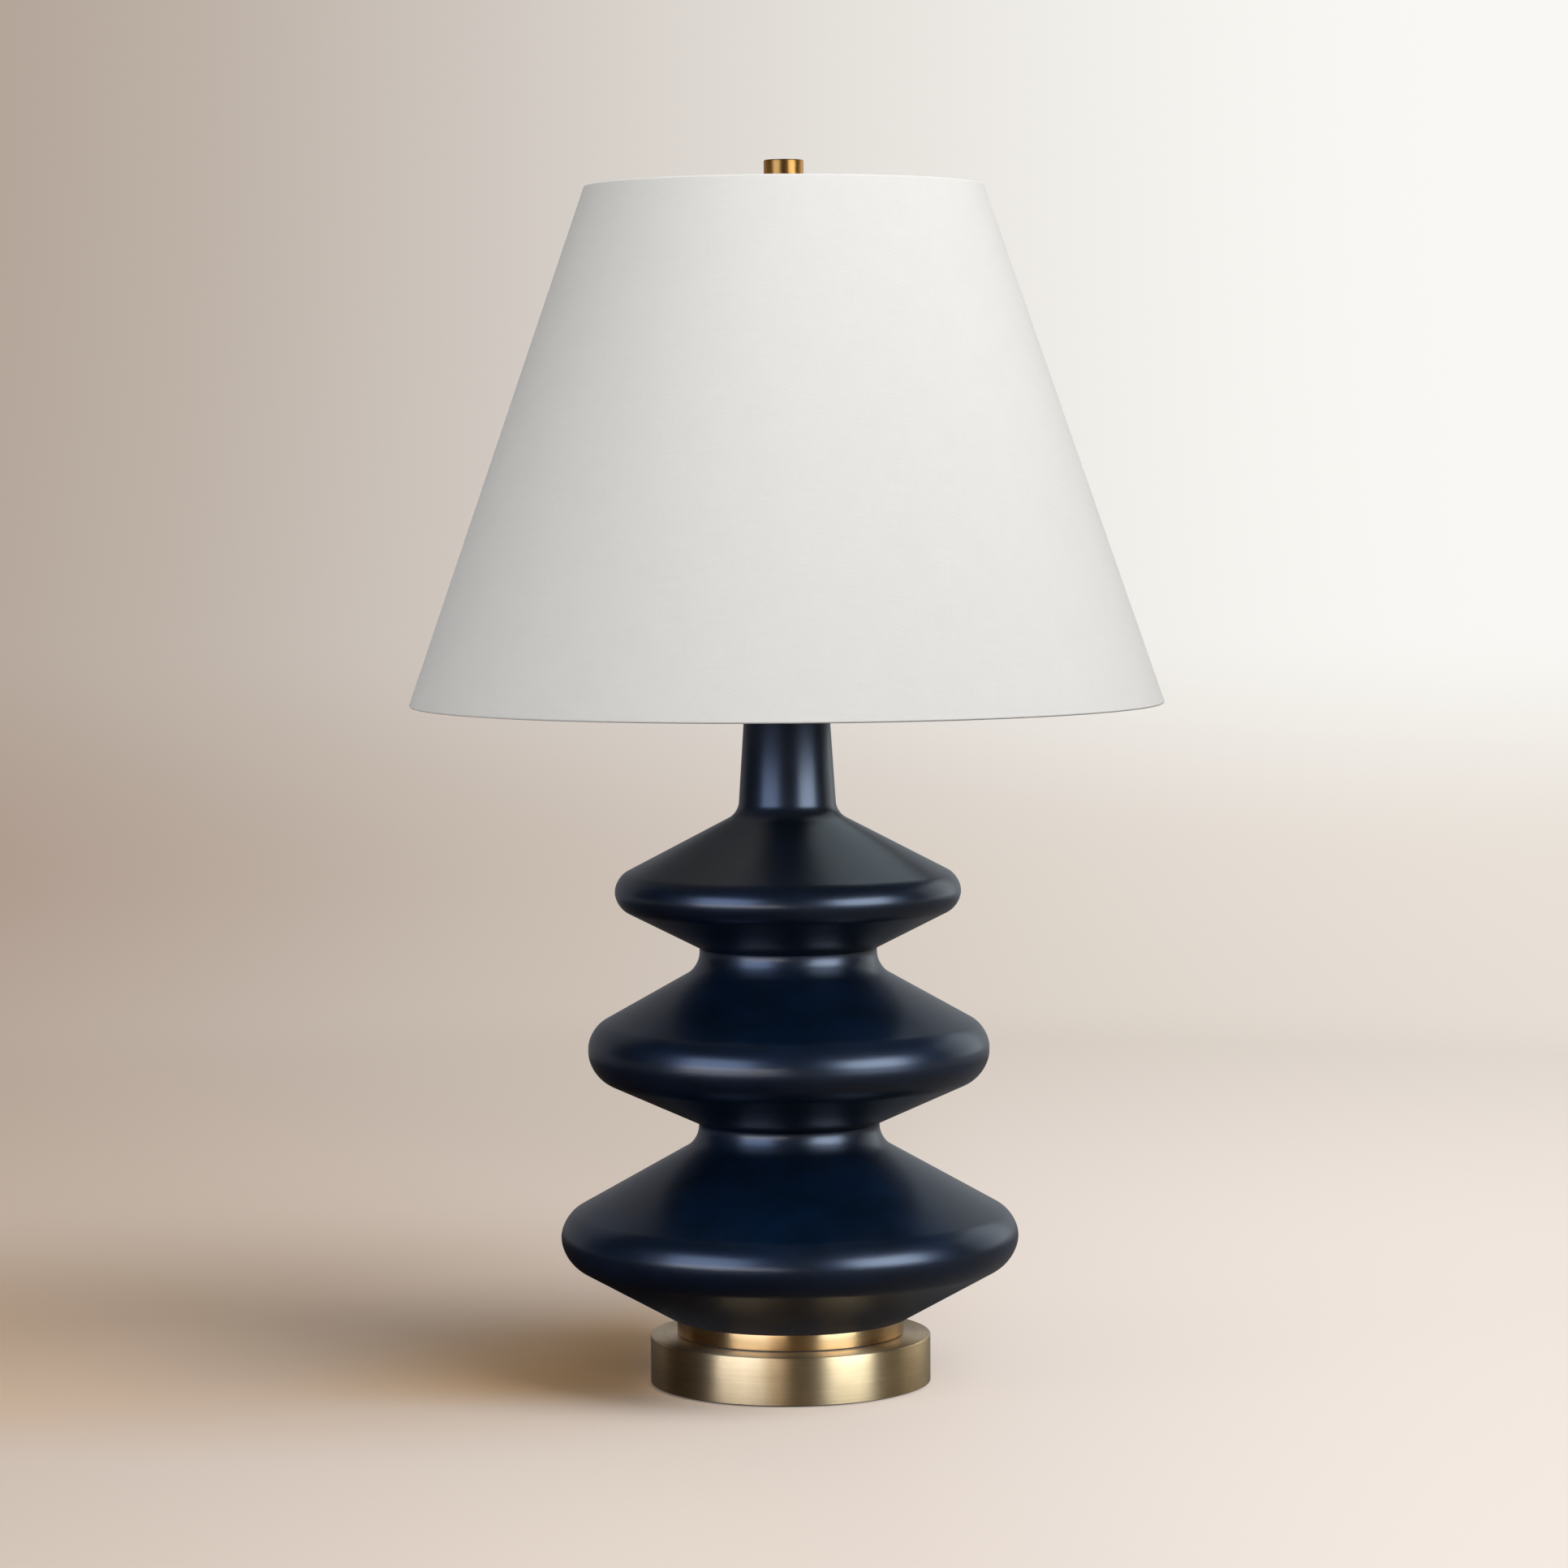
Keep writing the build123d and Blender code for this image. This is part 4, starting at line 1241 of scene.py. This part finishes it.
@dataclass
class Shade:
    """The tapered shade: twill folded over two wire rings, a styrene lining and a three-armed spider.

    Attributes:
        cloth: The thickness of the cloth.
        fold: The reach of the rounds where it folds over the rings.
        hem: How far it goes down the inside.
        hem_gap: How far it lies from the rings there.
        wire: The radius of the wire of the rings and arms.
        lining_depth: How far the lining lies inside the cloth's face.
        seam_end: How far the seam ends from the shade's rims.
        seam_lift: How far it stands out of the cloth's face.
        washer: The hole's radius, the radius and the two heights of the spider's washer.
        arm: The radii where an arm starts and where it bends up to the ring.
    """

    bottom_radius: float = 215.9
    top_radius: float = 113.4
    bottom: float = 391.8
    top: float = 686.8
    cloth: float = 0.6
    fold: float = 1.25
    hem: float = 9.0
    hem_gap: float = 0.1
    wire: float = 1.5
    lining_depth: float = 0.85
    lining_wall: float = 0.5
    lining_end: float = 0.6
    seam_width: float = 9.0
    seam_end: float = 2.2
    seam_lift: float = 0.35
    seam_cloth: float = 0.5
    washer: tuple[float, float, float, float] = (4.1, 12.5, 677.5, 679.1)
    arms: int = 3
    arm: tuple[float, float] = (11.0, 70.0)
    arm_bend: float = 20.0
    arm_sink: float = 0.25

    def slope(self) -> float:
        """Return how much the radius falls for each millimetre of height."""
        return (self.bottom_radius - self.top_radius) / (self.top - self.bottom)

    def lean(self) -> float:
        """Return the angle between the cloth and the axis, in radians."""
        return math.atan(self.slope())

    def radius(self, height: float, depth: float = 0.0) -> float:
        """Return the cone's radius at a height, that far inside its outer face."""
        return self.bottom_radius - (height - self.bottom) * self.slope() - depth / math.cos(self.lean())

    def ring(self, node: str) -> tuple[float, float]:
        """Return the radius and the height of the line of a packed wire ring."""
        low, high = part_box(node)
        return high.x / MM - self.wire, (low.z + high.z) / 2 / MM

    def build(self) -> None:
        """Build the cloth, its seam, the lining, the rings and the spider."""
        cloth = self.cover()
        seam = self.seam()
        self.lining()
        self.wires()
        self.spider()

    def cover(self) -> bpy.types.Object:
        """Make the cloth: up the cone, over each wire ring and down its inside as a hem."""
        inner_top = self.ring("shade_top_ring")[0] - self.wire - self.hem_gap
        inner_bottom = self.ring("shade_bottom_ring")[0] - self.wire - self.hem_gap
        hem_end = self.bottom + self.hem
        corners = [
            Corner(inner_top, self.top - self.hem),
            Corner(inner_top, self.top, self.fold, 5),
            Corner(self.top_radius, self.top, self.fold, 5),
            Corner(self.bottom_radius, self.bottom, self.fold, 5),
            Corner(inner_bottom, self.bottom, self.fold, 5),
            Corner(inner_bottom - self.hem * self.slope(), hem_end),
        ]
        shape = turned(corners, 256, closed=False)
        self.thicken(shape, self.cloth)
        self.map_cloth(shape)
        nodes = ("shade_fabric", "top_hem", "bottom_hem")
        return added("shade_cover", shape, SHADE_CLOTH, "shade", *nodes, crease=50.0)

    def thicken(self, shape: bmesh.types.BMesh, thickness: float) -> None:
        """Give the cloth its thickness, inward from the face that shows.

        Args:
            shape: The open shell of the cloth.
            thickness: The cloth's thickness, in millimetres.
        """
        middle = (self.top + self.bottom) / 2 * MM
        wall = min(shape.faces, key=lambda face: abs(face.calc_center_median().z - middle))
        centre = wall.calc_center_median()
        if wall.normal.dot(Vector((centre.x, centre.y, 0.0))) < 0:
            bmesh.ops.reverse_faces(shape, faces=shape.faces[:])
        bmesh.ops.solidify(shape, geom=shape.faces[:], thickness=thickness * MM)

    def map_cloth(self, shape: bmesh.types.BMesh) -> None:
        """Map the cloth as it lies flat: a part of a ring, in metres."""
        layer = shape.loops.layers.uv.new(CLOTH_MAP)
        share = math.sin(self.lean())
        apex = self.top_radius * MM / share
        for face in shape.faces:
            middle = face.calc_center_median()
            centre_turn = math.atan2(middle.x, -middle.y)
            for loop in face.loops:
                point = loop.vert.co
                turn = math.atan2(point.x, -point.y)
                turn += FULL_TURN * round((centre_turn - turn) / FULL_TURN)
                out = apex + (self.top * MM - point.z) / math.cos(self.lean())
                angle = turn * share
                loop[layer].uv = (out * math.sin(angle), -out * math.cos(angle))

    def seam(self) -> bpy.types.Object:
        """Make the strip of doubled cloth where the sheet's ends overlap, at the back."""
        half = self.seam_width / 2 / self.radius((self.top + self.bottom) / 2)
        shape = bmesh.new()
        ends = [
            shape.verts.new((0.0, self.radius(height, -self.seam_lift) * MM, height * MM))
            for height in (self.bottom + self.seam_end, self.top - self.seam_end)
        ]
        edge = shape.edges.new(ends)
        bmesh.ops.rotate(shape, verts=ends, cent=(0, 0, 0), matrix=Matrix.Rotation(-half, 3, "Z"))
        bmesh.ops.spin(shape, geom=[*ends, edge], cent=(0, 0, 0), axis=UP, angle=2 * half, steps=6)
        long = [edge for edge in shape.edges if edge.calc_length() > 100 * MM]
        bmesh.ops.subdivide_edges(shape, edges=long, cuts=12, use_grid_fill=True)
        tidied(shape)
        self.thicken(shape, self.seam_cloth)
        self.map_cloth(shape)
        return added("shade_seam", shape, SHADE_CLOTH, "shade", crease=50.0)

    def lining(self) -> None:
        """Turn the styrene lining."""
        low, high = self.bottom + self.lining_end, self.top - self.lining_end
        deep = self.lining_depth + self.lining_wall
        corners = [
            Corner(self.radius(low, self.lining_depth), low),
            Corner(self.radius(high, self.lining_depth), high),
            Corner(self.radius(high, deep), high),
            Corner(self.radius(low, deep), low),
        ]
        added("lining_sheet", turned(corners, 256), STYRENE, "shade", "shade_lining")

    def wires(self) -> None:
        """Turn the two rings of round wire."""
        for node in ("shade_top_ring", "shade_bottom_ring"):
            radius, height = self.ring(node)
            corners = [
                Corner(radius + across * self.wire, height + up * self.wire, self.wire, 4)
                for across, up in ((1, -1), (1, 1), (-1, 1), (-1, -1))
            ]
            added(f"{node}_drawn", turned(corners, 160), PAINTED_WIRE, "shade", node)

    def spider(self) -> None:
        """Bend the three arms and weld them to their washer and to the top ring."""
        ring_radius, ring_height = self.ring("shade_top_ring")
        hole, outer, low, high = self.washer
        middle = (low + high) / 2
        shape = turned(band(hole, Corner(outer, low, 0.3, 2), Corner(outer, high, 0.4, 3)), 64)
        points = [(radius, 0.0, middle) for radius in self.arm]
        points.append((ring_radius - self.wire, 0.0, ring_height - self.arm_sink))
        for index in range(self.arms):
            turn = Matrix.Rotation(index * FULL_TURN / self.arms, 3, "Z")
            arm = bent_wire([turn @ Vector(point) for point in points], [self.arm_bend], self.wire)
            shape = joined(shape, arm)
        added("spider_frame", shape, PAINTED_WIRE, "shade", "spider")


@dataclass
class Finial:
    """The finial: a satin brass drum on a short collar."""

    bottom: float = 679.2
    collar_radius: float = 6.5
    drum_low: float = 682.0
    radius: float = 11.3
    top: float = 701.0
    bore: float = 4.4
    bore_depth: float = 14.7

    def build(self) -> None:
        """Turn the drum with its broken edges."""
        bore_top = self.bottom + self.bore_depth
        corners = [
            Corner(0.0, self.top),
            Corner(self.radius, self.top, 0.8, 4),
            Corner(self.radius, self.drum_low, 0.5, 3),
            Corner(self.collar_radius, self.drum_low, 0.3, 2),
            Corner(self.collar_radius, self.bottom, 0.3, 2),
            Corner(self.bore, self.bottom),
            Corner(self.bore, bore_top),
            Corner(0.0, bore_top),
        ]
        shape = turned(corners, 128, closed=False)
        added("finial_drum", shape, FINIAL_BRASS, "finial", "finial_knob")


class Sees(Enum):
    """Which rays meet a light: those that light matt surfaces, or those that gloss mirrors."""

    MATT = "visible_glossy"
    GLOSS = "visible_diffuse"


@dataclass
class Lamp:
    """A soft box: a large flat light that faces the lamp. Its lengths are in metres."""

    name: str
    azimuth: float
    height: float
    distance: float
    size: tuple[float, float]
    level: float
    colour: tuple[float, float, float]
    sees: Sees
    aim: float = 0.35

    def build(self) -> None:
        """Stand the light at its azimuth, counted from the camera to the right, and aim it at the lamp."""
        light = bpy.data.lights.new(self.name, "AREA")
        light.shape = "RECTANGLE"
        light.size, light.size_y = self.size
        turn = math.radians(self.azimuth)
        spot = Vector((math.sin(turn) * self.distance, -math.cos(turn) * self.distance, self.height))
        way = spot - UP * self.aim
        light.energy = self.power(way.length)
        light.color = self.colour
        stand = linked(self.name, light)
        stand.location = spot
        stand.rotation_euler = way.to_track_quat("Z", "Y").to_euler()
        stand.visible_camera = False
        setattr(stand, self.sees.value, False)

    def power(self, distance: float) -> float:
        """Return the power that gives the level: how white a facing white sheet looks, or the box itself.

        Args:
            distance: How far the light is from the lamp.

        Returns:
            The light's power, in watts.
        """
        if self.sees is Sees.GLOSS:
            return self.level * math.pi * self.size[0] * self.size[1]
        return self.level * math.pi**2 * distance**2


@dataclass
class Studio:
    """Floor, backdrop, lights and camera. Its lengths are in metres."""

    camera_back: float = 2.793
    camera_height: float = 0.5316
    pitch: float = 3.81
    yaw: float = 0.038
    roll: float = -0.35
    lens: float = 112.14
    sensor: float = 36.0
    cove_start: float = 3.0
    cove: float = 1.6
    reach: float = 7.0
    top: float = 6.0
    lamps: tuple[Lamp, ...] = (
        Lamp("right_box", 49.0, 0.55, 1.7, (1.2, 0.9), 11.4, (0.62, 0.76, 1.0), Sees.GLOSS),
        Lamp("left_box", -41.5, 0.66, 1.7, (1.28, 1.05), 6.0, (0.46, 0.62, 1.0), Sees.GLOSS),
        Lamp("left_strip", -33.0, 0.12, 1.4, (1.5, 0.16), 8.0, (0.9, 0.88, 0.9), Sees.GLOSS),
        Lamp("shade_glow", 145.0, 0.46, 0.12, (0.22, 0.16), 0.85, (0.74, 0.9, 1.0), Sees.GLOSS, 0.3),
        Lamp("side_card", 124.0, 0.7, 1.8, (1.3, 1.2), 0.9, (0.82, 0.92, 1.0), Sees.GLOSS),
        Lamp("front", 8.0, 0.75, 2.2, (1.8, 1.2), 0.12, (0.975, 0.99, 1.0), Sees.MATT),
        Lamp("side", 54.0, 2.95, 2.6, (2.8, 2.8), 0.88, (1.0, 0.99, 0.98), Sees.MATT),
        Lamp("left_fill", -60.0, 0.65, 2.0, (1.0, 0.8), 0.31, (1.0, 1.0, 1.0), Sees.MATT),
        Lamp("ceiling", 0.0, 4.0, 0.4, (4.0, 4.0), 0.2, (1.0, 0.99, 0.98), Sees.MATT),
    )

    def build(self) -> None:
        """Set the stage."""
        self.cyclorama()
        self.world()
        self.camera()
        for lamp in self.lamps:
            lamp.build()
        bpy.context.scene.view_settings.view_transform = "Standard"

    def cyclorama(self) -> None:
        """Sweep the floor up into the backdrop, so that no line shows between them."""
        shape = bmesh.new()
        points = [
            shape.verts.new((-self.reach, -self.reach, 0.0)),
            shape.verts.new((-self.reach, self.cove_start + self.cove, 0.0)),
            shape.verts.new((-self.reach, self.cove_start + self.cove, self.top)),
        ]
        chained(shape, points)
        rounded(shape, [points[1]], self.cove / MM, 24, "VERTICES")
        made = bmesh.ops.extrude_edge_only(shape, edges=shape.edges[:])["geom"]
        far = [item for item in made if isinstance(item, bmesh.types.BMVert)]
        bmesh.ops.translate(shape, verts=far, vec=(2 * self.reach, 0.0, 0.0))
        bmesh.ops.recalc_face_normals(shape, faces=shape.faces[:])
        meshed("cyclorama", shape, self.backing())

    def backing(self) -> bpy.types.Material:
        """Write the stage's material: a beige sheet with painted light, darker on the left and pale on the
        right as if lit from the right.

        The floor near the lamp is lit, so that shadows fall on it. Behind and to the right of the lamp, and
        far away, the camera and gloss see it at its own brightness, so that it stays even.

        Returns:
            The material.
        """
        recipe = Recipe.surface("backing")
        x, y, z = recipe.axes(recipe.place())
        path = recipe.node("ShaderNodeLightPath", output="Is Camera Ray")
        gloss = path.other("Is Glossy Ray")
        radius = (x * x + y * y) ** 0.5
        # Painted light on the floor: darker on the left and pale on the right, as if lit from the right.
        across = recipe.step(x / (recipe.larger(y, -0.6) * 0.3 + 1.0), -0.75, 0.45)
        # Behind the foreground on the left, where the lamp's shadow falls, the floor is painted a warmer tan
        # that gives that shadow a painted warm tone.
        left = recipe.blend(recipe.step(y, -0.24, -0.02), tint(208, 194, 183), tint(214, 187, 161))
        left = recipe.blend(recipe.step(y, 0.2, 0.7), left, tint(234, 216, 200))
        near = recipe.blend(across, left, tint(244, 234, 226))
        # Painted bounce light: just left of the base, inside the lamp's shadow, the floor is painted brown as
        # if warm light came off the brass.
        painted_bounce_light = (1.0 - recipe.step(radius, 0.12, 0.34)) * (1.0 - recipe.step(x, -0.1, -0.04))
        painted_bounce_light = painted_bounce_light * recipe.step(y, -0.1, 0.0)
        near = recipe.blend(painted_bounce_light, near, tint(226, 189, 147))
        # Only camera rays see the floor's painted colour. Bounce light and reflections find the lit floor
        # dark brown: painted shade that darkens the floor in the glaze and the brass.
        recipe.feed("Base Color", recipe.blend(path, tint(64, 54, 44), near))
        recipe.constants(Roughness=0.9, Specular_IOR_Level=0.0)
        # Painted light on the backdrop and the far floor: darker on the left, pale on the right, and paler up
        # the wall.
        wide = recipe.step(x, -1.5, 1.05)
        front = recipe.blend(across, tint(166, 146, 131), tint(244, 234, 226))
        low = recipe.blend(wide, tint(166, 146, 131), tint(233, 225, 216))
        high = recipe.blend(wide, tint(176, 160, 147), tint(249, 248, 244))
        ground = recipe.blend(recipe.step(y, 0.4, 1.9), front, low)
        wall = recipe.blend(recipe.step(z, 0.0, 0.3), ground, high)
        behind = recipe.step(y, 0.2, 2.2)
        far = recipe.step(radius, 1.6, 5.0) * (1.0 - behind)
        far = recipe.larger(far, recipe.step(x * x, 4.0, 25.0))
        wall = recipe.blend(far, wall, self.horizon(recipe, x / radius))
        # Painted reflection: gloss sees the backdrop tinted blue grey, which gives the glaze's flanks their
        # bluish sheen.
        wall = recipe.blend(gloss * 0.6, wall, tint(84, 108, 130))
        glow = recipe.node("ShaderNodeEmission", inputs={"Color": wall, "Strength": 1.0})
        seen = recipe.larger(recipe.larger(path, gloss), path.other("Is Transmission Ray"))
        share = recipe.larger(behind, recipe.step(x, -0.12, 0.16) * (0.8 - gloss * 0.4))
        share = recipe.larger(share, recipe.step(radius, 0.8, 2.0)) * seen
        mixed = recipe.node("ShaderNodeMixShader", inputs={0: share, 1: recipe.shader, 2: glow})
        recipe.links.new(mixed.socket, recipe.nodes["Material Output"].inputs["Surface"])
        return recipe.material

    def horizon(self, recipe: Recipe, east: Value) -> Value:
        """Return the far colour of the room, with painted light: pale to the right and darker to the left.

        Args:
            recipe: The recipe that asks.
            east: How far to the right a direction points, from -1 to 1.

        Returns:
            The colour.
        """
        return recipe.blend(recipe.step(east, -1.0, 1.0), tint(176, 160, 147), tint(249, 248, 244))

    def world(self) -> None:
        """Light the room dimly. The camera sees the far colour, and gloss mirrors a darker room."""
        world = bpy.data.worlds.new("room")
        world.use_nodes = True
        recipe = Recipe(world.node_tree)
        path = recipe.node("ShaderNodeLightPath", output="Is Camera Ray")
        east = recipe.axes(recipe.node("ShaderNodeTexCoord", output="Generated"))[0]
        warm = recipe.blend(path.other("Is Diffuse Ray"), tint(49, 47, 45), tint(124, 118, 111))
        colour = recipe.blend(path, warm, self.horizon(recipe, east))
        background = recipe.node("ShaderNodeBackground", inputs={0: colour})
        recipe.node("ShaderNodeOutputWorld", inputs={"Surface": background}, output=None)
        bpy.context.scene.world = world

    def camera(self) -> None:
        """Stand the camera where the picture was taken from."""
        data = bpy.data.cameras.new("camera")
        data.lens = self.lens
        data.sensor_width = self.sensor
        data.clip_start, data.clip_end = 0.1, 50.0
        camera = linked("camera", data)
        camera.location = (0.0, -self.camera_back, self.camera_height)
        aim = Matrix.Rotation(math.radians(self.yaw), 3, "Z")
        aim @= Matrix.Rotation(math.radians(90.0 - self.pitch), 3, "X")
        aim @= Matrix.Rotation(math.radians(self.roll), 3, "Z")
        camera.rotation_euler = aim.to_euler()
        bpy.context.scene.camera = camera


def dress_nodes() -> None:
    """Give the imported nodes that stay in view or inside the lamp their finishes."""
    for finish, names in NODE_FINISHES.items():
        for name in names:
            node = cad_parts[name]
            node.data.materials.clear()
            node.data.materials.append(finish.material())
            log.info("%s: dressed as %s", name, finish.name)


def main() -> None:
    """Set the stage, then build and dress the lamp from the floor up."""
    logging.basicConfig(level=logging.INFO, format="%(name)s: %(message)s")
    Studio().build()
    dress_nodes()
    for assembly in (BrassBase, GourdBody, NeckHardware, Harp, LampHolder, Bulb, Shade, Finial):
        assembly().build()


if __name__ == "__main__":
    main()
